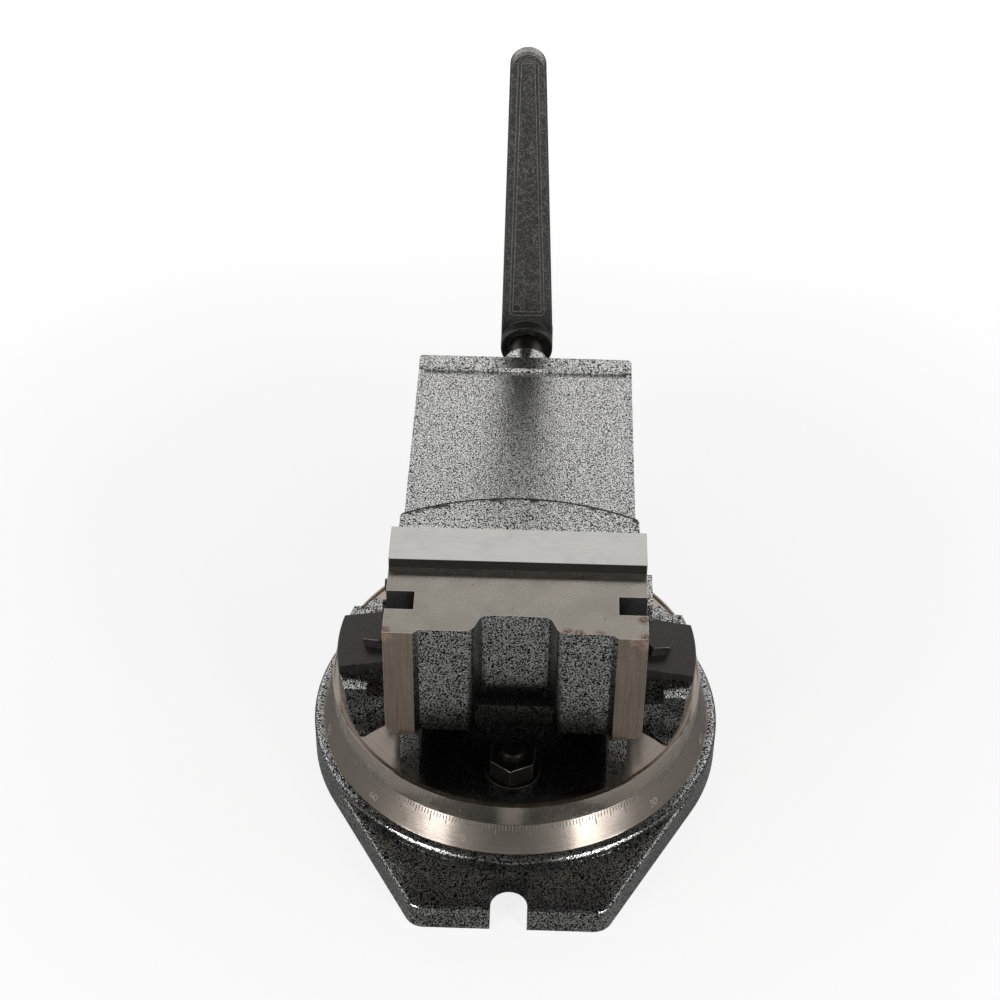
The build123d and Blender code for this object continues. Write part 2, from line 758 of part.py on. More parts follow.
def thrust_washer():
    """Washer between the screw's shoulder and the rear wall."""
    washer_rear = washer_front + thrust_washer_thickness
    washer = rod_back(0, screw_height, washer_front, washer_rear, thrust_washer_radius)
    return washer - rod_back(0, screw_height, 0, hub_front, journal_radius + screw_gap)


def shaft_collar():
    """Collar that takes the screw's pull behind the boss."""
    collar_rear = collar_front + shaft_collar_length
    ring = rod_back(0, screw_height, collar_front, collar_rear, shaft_collar_radius)
    ring = chamfer(ring.edges().filter_by(GeomType.CIRCLE), hex_chamfer)
    ring -= rod_back(0, screw_height, 0, hub_rear, journal_radius + screw_gap)
    centre = (collar_front + collar_rear) / 2
    hole_radius = collar_setscrew_radius + screw_gap
    return ring - rod_up(0, centre, screw_height - far, screw_height, hole_radius)


def collar_setscrew():
    """Headless screw that holds the collar on the shaft from below."""
    centre = collar_front + shaft_collar_length / 2
    low = screw_height - shaft_collar_radius + screw_gap
    high = screw_height - journal_radius - screw_gap
    return rod_up(0, centre, low, high, collar_setscrew_radius)


def gib_strip():
    """Steel strip between the left skirt and the bed's side."""
    height_low = (skirt_bottom + way_height - gib_height) / 2
    return block(-gib_outer, -gib_inner, skirt_front, skirt_rear, height_low, height_low + gib_height)


def gib_screws():
    """Round-ended black screws that adjust the gib."""
    screws = []
    for y, z in gib_screw_places():
        screw = rod_across(y, z, -skirt_left_offset - gib_screw_rise, -gib_outer, gib_screw_radius)
        screws.append(screw)
    return screws


def keeper(side):
    """Flat keeper below one way, hung from the moving jaw's tongue."""
    ends = sorted((side * tongue_inner_offset, side * keeper_offset))
    keeper_rear = skirt_front + keeper_length
    plate = block(ends[0], ends[1], skirt_front, keeper_rear, keeper_bottom, keeper_top)
    for x, y in keeper_screw_places():
        if x * side > 0:
            place = Pos(x, y, keeper_bottom + small_head_height) * Rot(180, 0, 0)
            plate -= place * cap_screw_hole(small_screw_radius, keeper_thickness, small_head_height)
    return plate


def keeper_screws():
    """Cap screws that hold the keepers."""
    screws = []
    for x, y in keeper_screw_places():
        reach = way_thickness + keeper_thickness - small_head_height - hole_end_gap
        place = Pos(x, y, keeper_bottom + small_head_height) * Rot(180, 0, 0)
        screws.append(place * cap_screw(small_screw_radius, reach))
    return screws


def nut_screws():
    """Cap screws that hold the feed nut."""
    screws = []
    for x, y in nut_screw_places():
        reach = nut_foot_height + nut_screw_reach
        screws.append(Pos(x, y, way_height + nut_foot_height) * cap_screw(small_screw_radius, reach))
    return screws


os.makedirs("parts", exist_ok=True)
save("base_casting", base_casting())
save("swivel_table", swivel_table())
save("vise_body", vise_body())
save("fixed_jaw_plate", to_fixed_side(jaw_plate()))
save("fixed_plate_screws", [to_fixed_side(screw) for screw in jaw_plate_screws()])
save("moving_jaw", moving_jaw())
save("moving_jaw_plate", to_moving_side(jaw_plate()))
save("moving_plate_screws", [to_moving_side(screw) for screw in jaw_plate_screws()])
save("keeper_left", keeper(-1))
save("keeper_right", keeper(1))
save("keeper_screws", keeper_screws())
save("gib_strip", gib_strip())
save("gib_screws", gib_screws())
save("lead_screw", lead_screw())
save("feed_nut", feed_nut())
save("feed_nut_screws", nut_screws())
save("thrust_washer", thrust_washer())
save("shaft_collar", shaft_collar())
save("collar_setscrew", collar_setscrew())
save("crank_handle", crank_handle())
save("handle_pin", handle_pin())
save("clamp_strap_left", clamp_strap(-1))
save("clamp_strap_right", clamp_strap(1))
save("clamp_strap_bolts", [strap_bolt(-1), strap_bolt(1)])
save("swivel_bolts", [swivel_bolt(-1), swivel_bolt(1)])
save("swivel_washers", [swivel_washer(-1), swivel_washer(1)])
save("swivel_nut_front", swivel_nut(-1))
save("swivel_nut_rear", swivel_nut(1))
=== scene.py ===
"""Swivel machine vise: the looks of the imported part, laid out as a Blender add-on and run as a script.

The swivel axis is Z, the fixed jaw is towards -Y and the crank handle towards +Y, as in the part. Blender's
own values are metres. Places of the part and sizes in the finishes are millimetres until MM turns them.
"""
import math
from functools import partial

import bmesh
import bpy
from bpy.props import FloatProperty, FloatVectorProperty, IntProperty, PointerProperty
from mathutils import Matrix, Vector


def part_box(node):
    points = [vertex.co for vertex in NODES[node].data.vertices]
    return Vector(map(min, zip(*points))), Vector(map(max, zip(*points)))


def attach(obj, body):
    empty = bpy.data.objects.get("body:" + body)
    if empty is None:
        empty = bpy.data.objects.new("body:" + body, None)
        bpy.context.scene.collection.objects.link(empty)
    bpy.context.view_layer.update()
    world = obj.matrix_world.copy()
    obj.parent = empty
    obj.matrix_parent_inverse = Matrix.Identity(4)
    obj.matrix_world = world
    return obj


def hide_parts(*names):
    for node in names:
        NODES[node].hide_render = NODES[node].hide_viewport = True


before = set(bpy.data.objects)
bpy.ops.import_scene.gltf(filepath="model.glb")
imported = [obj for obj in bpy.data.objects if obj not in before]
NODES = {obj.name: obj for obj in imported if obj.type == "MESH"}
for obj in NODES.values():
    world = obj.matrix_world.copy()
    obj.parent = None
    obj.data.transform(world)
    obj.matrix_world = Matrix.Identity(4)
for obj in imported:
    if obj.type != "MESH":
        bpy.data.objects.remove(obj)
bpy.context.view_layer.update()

bl_info = {
    "name": "Swivel machine vise",
    "version": (1, 0, 0),
    "blender": (4, 5, 0),
    "location": "View3D > Sidebar > Vise",
    "description": "Finishes, detail, camera and light for a swivel machine vise",
    "category": "Object",
}

MM = 0.001

# Places of the part, in millimetres. Where one is the bound of a test, it lies between the faces or edges
# that the test picks and the next ones. An OFFSET is measured from the middle plane to either side.
BASE_WALL = 12.0
TABLE_TOP = 38.0
TABLE_FLOOR_DEPTH = 1.55
TABLE_FLOOR_RADIUS = 70.7
TABLE_FLOOR_OFFSET = 37.05
LUG_OFFSET = 45.0
WAY_TOP = 79.0
WAY_UNDERSIDE = 69.0
GIB_SIDE_OFFSET = 44.4
GIB_SIDE_LOW = 66.0
BLOCK_SIDE_OFFSET = 49.6
PLATE_SEAT = -18.5
PAD_FRONT = -54.8
PAD_OFFSET = 38.0
LEG_OFFSET = 38.7
LEG_REAR = -41.9
LEG_FOOT_TOP = 61.0
LOBE_REAR = -42.0
LOBE_LOW = 55.0
LOBE_EDGE_OFFSET = 38.2
LOBE_FOOT_TOP = 58.0
RECESS_OFFSET = 16.8
RECESS_FRONT = -51.5
NOTCH_OFFSET = 38.9
NOTCH_REAR = -31.7
NOTCH_FLOOR = 95.9
CORE_OFFSET = 37.1
CORE_TOP = 69.1
CORE_FRONT = -43.0
UNDERSIDE_TOP = 60.0
CAST_EDGE_TOP = 68.5
CAST_EDGE_REAR = -30.0
SLIDE_TOP = 79.2
MOVING_SEAT = 0.5
HOOD_LOW = 80.0
HOOD_FRONT = 3.0
BOSS_START = 100.0
BOSS_END = 136.5
BORE_RADIUS = 7.0
STEP_FRONT = 109.0
STEP_REAR = 113.5
STEP_LOW = 107.55
STEP_HIGH = 109.45
ARCH_RADIUS = 104.27
ARCH_CENTRE = -79.27
ARCH_TOP_LOW = 106.8
ARCH_TOP_HIGH = 107.2
SCREW_HEIGHT = 91.3
JOURNAL_START = 110.0
HANDLE_TIP_START = 229.0
HANDLE_TIP_HIGH = 232.0
MILL_CENTRE = 160.0

# A face looks fully along an axis when that part of its normal is above SQUARE, and a face is upright
# when its normal's Z is below UPRIGHT. Broken edges lie within TOP_BAND of a piece's top, in millimetres.
SQUARE = 0.9
UPRIGHT = 0.1
TOP_BAND = 0.3

# Graduations, in millimetres: run down the cone at every ten, five and one degrees, gap below the cone's
# top edge, and thickness of the bar that a mark is made from. Then the width of a mark's outer end as a
# share of its inner end's, the degrees between two numbers, and a font's size over its digits' height.
TICK_RUNS = {10: 4.6, 5: 3.3, 1: 2.1}
TICK_GAP = 0.35
TICK_THICKNESS = 0.2
TICK_TAPER = 0.7
NUMBER_STEP = 30
FONT_SIZE_SHARE = 1.35

# Middles of the rust stains on the block's top and on the pads' upper corners, in millimetres.
CORNER_RUST = (
    (19.7, -52.0, 110), (24.0, -52.4, 110), (31.7, -53.0, 110),
    (48.3, -44.1, 110), (48.9, -53.8, 110), (-49.2, -53.5, 110),
)
PAD_RUST = ((-49.0, -54.8, 108), (48.8, -54.8, 107), (45.0, -54.8, 109))

# Softboxes at the left and right of the camera, and a faint one overhead. Azimuth from the front and
# elevation in degrees, then distance, width and height in metres, and power in watts.
SOFTBOXES = {
    "softbox_left": (-43, 9, 1.2, 0.46, 0.5, 10.5),
    "softbox_right": (43, 9, 1.2, 0.46, 0.5, 11.5),
    "overhead_box": (0, 63, 1.5, 2.0, 1.0, 0.5),
}
LAMP_TARGET = (0, 0, 0.06)

# The floor's width in metres, and how far below the base it lies in millimetres.
FLOOR_WIDTH = 8
FLOOR_GAP = 0.05

# Camera fitted to the photograph: its axes, its place in metres, its lens and sensor in millimetres, and
# how near and far it sees in metres.
CAMERA_RIGHT = (0.999462, 0.031456, 0.00926)
CAMERA_UP = (-0.027437, 0.647594, 0.761491)
CAMERA_BACK = (0.017957, -0.761336, 0.648109)
CAMERA_PLACE = (0.00728, -0.63088, 0.66701)
CAMERA_LENS = 77.03
CAMERA_SENSOR = 36.0
CAMERA_NEAR = 0.02
CAMERA_FAR = 50

WHITE = (1, 1, 1, 1)
EASED = {"interpolation_type": "SMOOTHSTEP"}


def linear(code):
    """Linear RGBA of an sRGB hex colour."""
    channels = [int(code[start:start + 2], 16) / 255 for start in (1, 3, 5)]
    return [c / 12.92 if c <= 0.04045 else ((c + 0.055) / 1.055) ** 2.4 for c in channels] + [1.0]


def length(name, description, default):
    """A length property whose default is given in millimetres."""
    return FloatProperty(name=name, description=description, default=default * MM, min=0.0, unit="LENGTH")


def colour(name, description, code):
    """A colour property whose default is an sRGB hex code."""
    return FloatVectorProperty(
        name=name, description=description, default=linear(code), size=4, min=0.0, max=1.0, subtype="COLOR"
    )


class ViseSizes(bpy.types.PropertyGroup):
    """Sizes of the detail that the scene adds to the solids."""

    cast_round: length("Casting round", "Radius that the mould leaves on a painted edge", 1.3)
    lug_round: length("Lug round", "Radius on the edges of the swivel table's lugs", 1.8)
    lobe_round: length("Lobe round", "Radius on the fixed jaw's two lobes", 3.4)
    hood_round: length("Hood round", "Radius on the hood's edges", 1.1)
    edge_break: length("Edge break", "Width of the break on a machined edge", 0.35)
    steel_round: length("Bar edge round", "Radius on the edges of the straps and their bolts", 0.4)
    dial_top_radius: length("Dial top radius", "Radius of the graduated cone at its top", 76.0)
    dial_low_radius: length("Dial low radius", "Radius of the graduated cone at its foot", 81.2)
    dial_top: length("Dial top", "Height of the graduated cone's top", 28.0)
    dial_foot: length("Dial foot", "Height of the graduated cone's foot", 16.5)
    tick_width: length("Tick width", "Width of a graduation", 0.42)
    tick_relief: length("Tick relief", "How far a graduation stands off the cone", 0.02)
    numeral_height: length("Numeral height", "Height of the numbers on the dial", 3.3)
    numeral_drop: length("Numeral drop", "Distance from the dial's top to a number's middle", 8.1)
    thread_pitch: length("Bolt thread pitch", "Pitch of the swivel bolts' thread", 1.5)
    lead: length("Lead", "Pitch of the lead screw's thread", 4.0)
    zero_angle: FloatProperty(
        name="Zero mark", description="Angle of the dial's zero from the front", default=math.radians(15.6),
        subtype="ANGLE",
    )
    tick_count: IntProperty(
        name="Graduations", description="Number of graduations round the dial", default=360
    )


class ViseFinishes(bpy.types.PropertyGroup):
    """Colours of the finishes."""

    enamel_cell: colour("Enamel cells", "Dark cells of the hammertone enamel", "#151515")
    enamel_flake: colour("Enamel flake", "Silver flake of the hammertone enamel", "#ececea")
    # The next colour is painted shade, not oil or dust: it darkens the enamel low on the fixed jaw's lobes
    # and in its recess.
    enamel_dust: colour("Enamel dust", "Oil and dust on the enamel below the fixed jaw", "#0c0b0b")
    # The next colour is painted shadow along the moving jaw's arched step.
    enamel_thin: colour("Thin enamel", "Flaw in the enamel along the moving jaw's arch", "#141312")
    # The next two colours are painted shade for the cast hollow below the jaw and the notches.
    primer_dark: colour("Primer low", "Hollows of the primed core's grain", "#050505")
    primer_pale: colour("Primer high", "Tops of the primed core's grain", "#171615")
    ground: colour("Ground steel", "Jaw plates", "#c4c1bd")
    milled: colour("Milled iron", "Milled faces of the castings", "#b3aea6")
    pad: colour("Filed pads", "Front faces of the fixed jaw's legs", "#b0a294")
    turned: colour("Turned iron", "Turned faces of the base and the table", "#b5aaa0")
    # The next colour is a lighter copy of the turned iron for the table's upright faces: painted light.
    rim: colour("Turned rim", "Upright turned faces of the table", "#ded3c6")
    # The next colour is both wear and a painted highlight on the machined iron's edges.
    worn: colour("Worn iron", "Rubbed edges of the machined iron", "#f0ece6")
    pore: colour("Graphite pores", "Open pores of the machined iron", "#2a2623")
    rust: colour("Rust", "Light rust on bare iron", "#6f3812")
    mark: colour("Engraving", "Dull floor of the graduations", "#645e57")
    numeral: colour("Numbers", "Pale floor of the numbers", "#8f877d")
    oxide: colour("Black oxide", "Straps, their bolts and the small screws", "#464441")
    nut: colour("Oiled black", "Swivel nuts, washers and bolts", "#1d1b1a")
    rubbed: colour("Rubbed oxide", "Corners where the black oxide is rubbed through", "#a8a49e")
    handle: colour("Handle black", "Stoved black paint of the crank", "#2d2d2d")
    speck: colour("Handle specks", "Fine specks in the crank's paint", "#6e6c69")
    # The next colour serves both the rubbed edges and the painted light on the handle's upward end faces.
    bare: colour("Bare handle", "Edges where the crank's paint is rubbed through", "#c9c6c1")
    plain: colour("Plain steel", "Bars that stay bare", "#a5a29d")
    bronze: colour("Bronze", "Feed nut", "#b08a52")
    paper_dark: colour("Floor, low", "Floor as other surfaces see it, darker patches", "#b0b0b0")
    paper_mid: colour("Floor, high", "Floor as other surfaces see it, lighter patches", "#b6b6b6")
    paper_pale: colour("Seen floor, low", "Floor as the camera sees it, darker patches", "#f4f4f4")
    paper_white: colour("Seen floor, high", "Floor as the camera sees it, lighter patches", "#f7f7f7")


# Mesh work.


def only(*objects):
    """Selects just these objects and makes the last one active."""
    bpy.ops.object.select_all(action="DESELECT")
    for item in objects:
        item.select_set(True)
    bpy.context.view_layer.objects.active = objects[-1]


def named(item, name):
    """Gives an object and its mesh one name."""
    item.name = name
    item.data.name = name
    return item


def copy_of(node, name, merge_reach=0.001, flat_angle=0.5):
    """A copy of a CAD node with its loose triangles merged and its flat faces joined."""
    piece = bpy.data.objects.new(name, NODES[node].data.copy())
    bpy.context.scene.collection.objects.link(piece)
    piece.data.materials.clear()
    only(piece)
    bpy.ops.object.mode_set(mode="EDIT")
    bpy.ops.mesh.select_all(action="SELECT")
    bpy.ops.mesh.remove_doubles(threshold=merge_reach * MM)
    bpy.ops.mesh.customdata_custom_splitnormals_clear()
    bpy.ops.mesh.dissolve_limited(angle_limit=math.radians(flat_angle))
    bpy.ops.object.mode_set(mode="OBJECT")
    return named(piece, name)


def round_edges(piece, radius, steps, test=None, angle=30):
    """Rounds the edges sharper than an angle in degrees.

    A test picks them by their middle, in millimetres, and their two faces' normals.
    """
    only(piece)
    bpy.ops.object.mode_set(mode="EDIT")
    bpy.ops.mesh.select_mode(type="EDGE")
    bpy.ops.mesh.select_all(action="DESELECT")
    cage = bmesh.from_edit_mesh(piece.data)
    for edge in cage.edges:
        if len(edge.link_faces) == 2 and edge.calc_face_angle() > math.radians(angle):
            middle = (edge.verts[0].co + edge.verts[1].co) / 2 / MM
            if test is None or test(middle, *[face.normal for face in edge.link_faces]):
                edge.select = True
    cage.select_flush_mode()
    bmesh.update_edit_mesh(piece.data)
    bpy.ops.mesh.bevel(offset=radius, segments=steps, profile=0.5, affect="EDGES", clamp_overlap=True)
    bpy.ops.object.mode_set(mode="OBJECT")
    return piece


def lift_vertices(piece, numbers, height):
    """Moves these vertices straight up together, the lowest of them to this height."""
    only(piece)
    bpy.ops.object.mode_set(mode="EDIT")
    bpy.ops.mesh.select_mode(type="VERT")
    bpy.ops.mesh.select_all(action="DESELECT")
    bpy.ops.object.mode_set(mode="OBJECT")
    for number in numbers:
        piece.data.vertices[number].select = True
    rise = height - min(piece.data.vertices[number].co.z for number in numbers)
    bpy.ops.object.mode_set(mode="EDIT")
    bpy.ops.transform.translate(value=(0, 0, rise))
    bpy.ops.object.mode_set(mode="OBJECT")


def smooth(piece, angle=34):
    """Shades a piece smooth up to an angle in degrees, with its flat faces kept flat."""
    only(piece)
    bpy.ops.object.shade_smooth_by_angle(angle=math.radians(angle))
    weigh = piece.modifiers.new("flat faces", "WEIGHTED_NORMAL")
    weigh.keep_sharp = True
    weigh.weight = 100
    bpy.ops.object.modifier_apply(modifier=weigh.name)
    return piece


def dress(piece, body, nodes, slot, *coats):
    """Gives a piece its coats, its body and the nodes it stands for.

    The first coat covers all. Each further one is a pair, its material and a test that reads a point
    inside a face, in millimetres, and the face's normal.
    """
    mesh = piece.data
    mesh.materials.clear()
    mesh.materials.append(coats[0])
    mesh.calc_loop_triangles()
    inside = {}
    for triangle in mesh.loop_triangles:
        corners = [mesh.vertices[number].co for number in triangle.vertices]
        spot = sum(corners, Vector()) / len(corners) / MM
        if triangle.area > inside.get(triangle.polygon_index, (0, spot))[0]:
            inside[triangle.polygon_index] = (triangle.area, spot)
    for number, (material, test) in enumerate(coats[1:], 1):
        mesh.materials.append(material)
        for face in mesh.polygons:
            spot = inside.get(face.index, (0, face.center / MM))[1]
            if test(spot, face.normal):
                face.material_index = number
    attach(piece, body)
    if nodes:
        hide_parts(*nodes)
    return piece


def ring_of(point):
    """Distance from the swivel axis."""
    return math.hypot(point.x, point.y)


def near(value, place, reach=0.3):
    """Whether a value lies within reach of a place."""
    return abs(value - place) < reach


def placed(axes):
    """Matrix whose columns are three axes and an origin."""
    place = Matrix.Identity(4)
    for column, axis in enumerate(axes):
        for row in range(3):
            place[row][column] = axis[row]
    return place


# Materials. A maker gets the colours and the material's name first.


def connect(node, inputs):
    """Sets or links a node's inputs, from a list by their order or from a dict by their name or number."""
    for socket, value in inputs.items() if isinstance(inputs, dict) else enumerate(inputs):
        if isinstance(value, bpy.types.NodeSocket):
            node.id_data.links.new(value, node.inputs[socket])
        else:
            node.inputs[socket].default_value = value


def add_node(tree, kind, inputs=(), output=0, **settings):
    """Adds a shader node with its settings and links, and returns one of its outputs."""
    node = tree.nodes.new("ShaderNode" + kind)
    for name, value in settings.items():
        setattr(node, name, value)
    connect(node, inputs)
    return node.outputs[output]


def new_material(name, metallic, roughness, **sockets):
    """A new material, the function that adds nodes to it, its shader and the Object coordinates."""
    material = bpy.data.materials.new(name)
    material.use_nodes = True
    node = partial(add_node, material.node_tree)
    shader = material.node_tree.nodes["Principled BSDF"]
    connect(shader, {"Metallic": metallic, "Roughness": roughness})
    connect(shader, {socket.replace("_", " "): value for socket, value in sockets.items()})
    return material, node, shader, node("TexCoord", output="Object")


def per(millimetres):
    """Texture scale at which one cell is this wide."""
    return 1 / (millimetres * MM)


def shaded(base, *shares):
    """A linear colour with its channels taken down, all to one share or each to its own."""
    return [value * share for value, share in zip(base[:3], shares * 3)] + [1.0]


def worn_edge(node, radius, low=0.995, high=0.9):
    """Output that is 1 on an edge sharper than this radius and 0 on a flat."""
    rounded = node("Bevel", {"Radius": radius * MM}, samples=6)
    flat = node("NewGeometry", output="True Normal")
    agreement = node("VectorMath", [rounded, flat], "Value", operation="DOT_PRODUCT")
    return node("MapRange", [agreement, low, high], **EASED)


def near_points(node, place, points, reach):
    """Output that is 1 close to any of these points, in millimetres, and 0 beyond the reach."""
    core = 0.2
    total = 0.0
    for point in points:
        middle = [value * MM for value in point]
        away = node("VectorMath", [place, middle], "Value", operation="DISTANCE")
        close = node("MapRange", [away, reach * MM, reach * MM * core], **EASED)
        total = node("Math", [total, close], operation="MAXIMUM")
    return total


def hammertone_enamel(colours, name, share, painted_shadow=None, low_shade=None, metallic=1.0):
    """Hammertone stoving enamel on sand-cast iron.

    Silver flake drawn into worm-like cells between dark lines, glossy, over the slight waves of the sand
    mould. share is the flake's share. The arch's function paints a shadow, darkening the enamel where its
    output is 1, and painted shade darkens it towards the bottom, between the two heights of low_shade, in
    millimetres.
    """
    # Sizes in millimetres: flake cells, the noise that stirs them into worms and how far it moves them,
    # the slow swell in their share, and the mould's waves.
    cell_size = 0.56
    stir_size = 0.9
    stir_reach = 0.4
    swell_size = 9.0
    wave_size = 4.5
    relief_depth = 0.04
    swell_share = 0.05
    wave_share = 1.5
    painted_shade_strength = 0.85
    painted_shadow_strength = 0.9
    # The grain's level at a share of one half, how far it moves with the share, and half the width of a
    # cell's soft edge.
    half_level = 0.52
    level_reach = 0.5
    cell_fade = 0.2
    material, node, shader, place = new_material(name, metallic, 0.2, Coat_Weight=0.12, Coat_Roughness=0.08)
    stir = node("TexNoise", {"Vector": place, "Scale": per(stir_size), "Detail": 1.0}, "Color")
    stirred = node("VectorMath", [stir, [stir_reach * MM] * 3, place], operation="MULTIPLY_ADD")
    cells = node("TexVoronoi", {"Vector": stirred, "Scale": per(cell_size)}, "Distance")
    grain = node("Math", [1.0, cells], operation="SUBTRACT")
    swell = node("TexNoise", {"Vector": place, "Scale": per(swell_size)})
    swelling = node("Math", [swell, swell_share], operation="MULTIPLY")
    level = node("Math", [grain, swelling], operation="ADD")
    middle = half_level + (0.5 - share) * level_reach
    flake = node("MapRange", [level, middle - cell_fade, middle + cell_fade], **EASED)
    body = node("Mix", {0: flake, 6: colours.enamel_cell, 7: colours.enamel_flake}, 2, data_type="RGBA")
    # Painted shade: the enamel is darkened towards the bottom, between the two heights of low_shade.
    if low_shade:
        low, high = low_shade
        height = node("SeparateXYZ", [place], "Z")
        painted_shade = node("MapRange", [height, high * MM, low * MM, 0.0, painted_shade_strength], **EASED)
        body = node("Mix", {0: painted_shade, 6: body, 7: colours.enamel_dust}, 2, data_type="RGBA")
    # Painted shadow: the enamel is darkened where the arch's line and patches lie.
    if painted_shadow:
        thin_film_and_arch_shadow = node("Math", [painted_shadow(node, place), painted_shadow_strength], operation="MULTIPLY")
        body = node("Mix", {0: thin_film_and_arch_shadow, 6: body, 7: colours.enamel_thin}, 2, data_type="RGBA")
    wave = node("TexNoise", {"Vector": place, "Scale": per(wave_size)})
    waves = node("Math", [wave, wave_share], operation="MULTIPLY")
    relief = node("Math", [grain, waves], operation="ADD")
    connect(shader, {
        "Base Color": body,
        "Roughness": node("MapRange", [flake, 0, 1, 0.30, 0.17], **EASED),
        "Normal": node("Bump", {"Height": relief, "Distance": relief_depth * MM, "Strength": 1.0}),
    })
    return material


def arch_flaw(node, place):
    """Painted shadow along the arched step behind the moving jaw's top: a dark line, and dark patches before
    it.
    """
    patch_size = 7.0
    x, y, z = [node("SeparateXYZ", [place], axis) for axis in "XYZ"]
    flat = node("CombineXYZ", [x, y])
    away = node("VectorMath", [flat, (0, ARCH_CENTRE * MM, 0)], "Value", operation="DISTANCE")
    beyond = node("Math", [away, ARCH_RADIUS * MM], operation="SUBTRACT")

    def fade(nothing, full):
        """From 0 to 1 between two distances beyond the arch, in millimetres."""
        return node("MapRange", [beyond, nothing * MM, full * MM], **EASED)

    line = node("Math", [fade(-1.4, -0.8), fade(0.6, 0.2)], operation="MULTIPLY")
    band = node("Math", [fade(-3.2, -1.6), fade(0.3, 0.0)], operation="MULTIPLY")
    cloud = node("TexNoise", {"Vector": place, "Scale": per(patch_size), "Detail": 3.0, "Roughness": 0.6})
    patches = node("MapRange", [cloud, 0.5, 0.56], **EASED)
    patch = node("Math", [band, patches], operation="MULTIPLY")
    painted_shadow = node("Math", [line, patch], operation="MAXIMUM")
    on_top = node("MapRange", [z, ARCH_TOP_LOW * MM, ARCH_TOP_HIGH * MM], **EASED)
    return node("Math", [painted_shadow, on_top], operation="MULTIPLY")


def cut_iron(
    colours, name, base, roughness, lay, spacing, depth, lines=0.18, mottle=0.0, pits=0.0, edge=0.0,
    rust_points=(), rust_reach=0.0, rust_strength=0.0,
):
    """Machined grey iron or steel, dull silver with the cutter's fine lines, faint stains and open pores.

    lay is along_x or along_z for grinding and shaping lines, arcs for a face mill, or turned for a lathe.
    spacing and depth are those of the lines. lines, mottle, pits and edge are the strength of the lines, of
    the iron's brown grain, of its open pores and of the edges, which are rubbed bright and also carry a
    painted highlight.
    """
    # Sizes in millimetres: stains, the iron's grain, distance between pores, rust's patches and the
    # radius below which an edge is rubbed bright and given a painted highlight. Pores are drawn about half a
    # millimetre wide, so that they show.
    stain_size = 14.0
    grain_size = 0.55
    pore_spacing = 5.5
    rust_size = 1.1
    edge_radius = 0.35
    streak_stretch = 0.025
    slope_share = 1.6
    grain_share = 0.6
    material, node, shader, place = new_material(name, 1.0, roughness)
    if lay in ("along_x", "along_z"):
        stretch = (streak_stretch, 1, 1) if lay == "along_x" else (1, 1, streak_stretch)
        stretched = node("Mapping", {"Vector": place, "Scale": stretch})
        inputs = {"Vector": stretched, "Scale": per(spacing), "Detail": 3.0, "Roughness": 0.6}
        streak = node("TexNoise", inputs)
    else:
        centre = (0.0, MILL_CENTRE * MM, 0.0) if lay == "arcs" else (0.0, 0.0, 0.0)
        moved = node("VectorMath", [place, centre], operation="SUBTRACT")
        x, y, z = [node("SeparateXYZ", [moved], axis) for axis in "XYZ"]
        away = node("VectorMath", [node("CombineXYZ", [x, y])], "Value", operation="LENGTH")
        climb = node("Math", [z, slope_share], operation="MULTIPLY")
        run = node("Math", [away, climb], operation="ADD")
        turns = node("Math", [run, per(spacing)], operation="MULTIPLY")
        streak = node("TexNoise", {"W": turns, "Scale": 1.0, "Detail": 3.0}, noise_dimensions="1D")
    streaks = node("MapRange", [streak, 0.3, 0.7], **EASED)
    body = node("Mix", {0: streaks, 6: shaded(base, 1 - lines), 7: base}, 2, data_type="RGBA")
    cloud = node("TexNoise", {"Vector": place, "Scale": per(stain_size), "Detail": 3.0, "Roughness": 0.6})
    stains = node("MapRange", [cloud, 0.45, 0.75, 0.0, 0.5], **EASED)
    body = node("Mix", {0: stains, 6: body, 7: shaded(base, 0.8)}, 2, data_type="RGBA")
    height = streak
    if mottle:
        grain = node("TexNoise", {"Vector": place, "Scale": per(grain_size), "Detail": 3.0, "Roughness": 0.7})
        browns = node("MapRange", [grain, 0.62, 0.38, 0.0, mottle], **EASED)
        body = node("Mix", {0: browns, 6: body, 7: shaded(base, 0.72, 0.68, 0.63)}, 2, data_type="RGBA")
        fine = node("Math", [grain, grain_share], operation="MULTIPLY")
        height = node("Math", [height, fine], operation="ADD")
    if pits:
        cells = node("TexVoronoi", {"Vector": place, "Scale": per(pore_spacing)}, "Distance")
        pore = node("MapRange", [cells, 0.075, 0.03], **EASED)
        darkness = node("Math", [pore, pits], operation="MULTIPLY")
        body = node("Mix", {0: darkness, 6: body, 7: colours.pore}, 2, data_type="RGBA")
        height = node("Math", [height, pore], operation="SUBTRACT")
    # Rubbed edges, paler both as wear and as a painted highlight.
    if edge:
        rub = node("Math", [worn_edge(node, edge_radius), edge], operation="MULTIPLY")
        body = node("Mix", {0: rub, 6: body, 7: colours.worn}, 2, data_type="RGBA")
    if rust_points:
        spread = near_points(node, place, rust_points, rust_reach)
        cloudy = node("TexNoise", {"Vector": place, "Scale": per(rust_size), "Detail": 4.0, "Roughness": 0.7})
        patches = node("MapRange", [cloudy, 0.42, 0.52], **EASED)
        amount = node("Math", [spread, patches], operation="MULTIPLY")
        strength = node("Math", [amount, rust_strength], operation="MULTIPLY")
        body = node("Mix", {0: strength, 6: body, 7: colours.rust}, 2, data_type="RGBA")
        connect(shader, {"Metallic": node("MapRange", [amount, 0, 1, 1, 1 - rust_strength], **EASED)})
    if lay == "turned":
        connect(shader, {"Anisotropic": 0.45})
    connect(shader, {
        "Base Color": body,
        "Roughness": node("MapRange", [cloud, 0.2, 0.8, roughness * 0.85, roughness * 1.2], **EASED),
        "Normal": node("Bump", {"Height": height, "Distance": depth * MM, "Strength": 1.0}),
    })
    return material


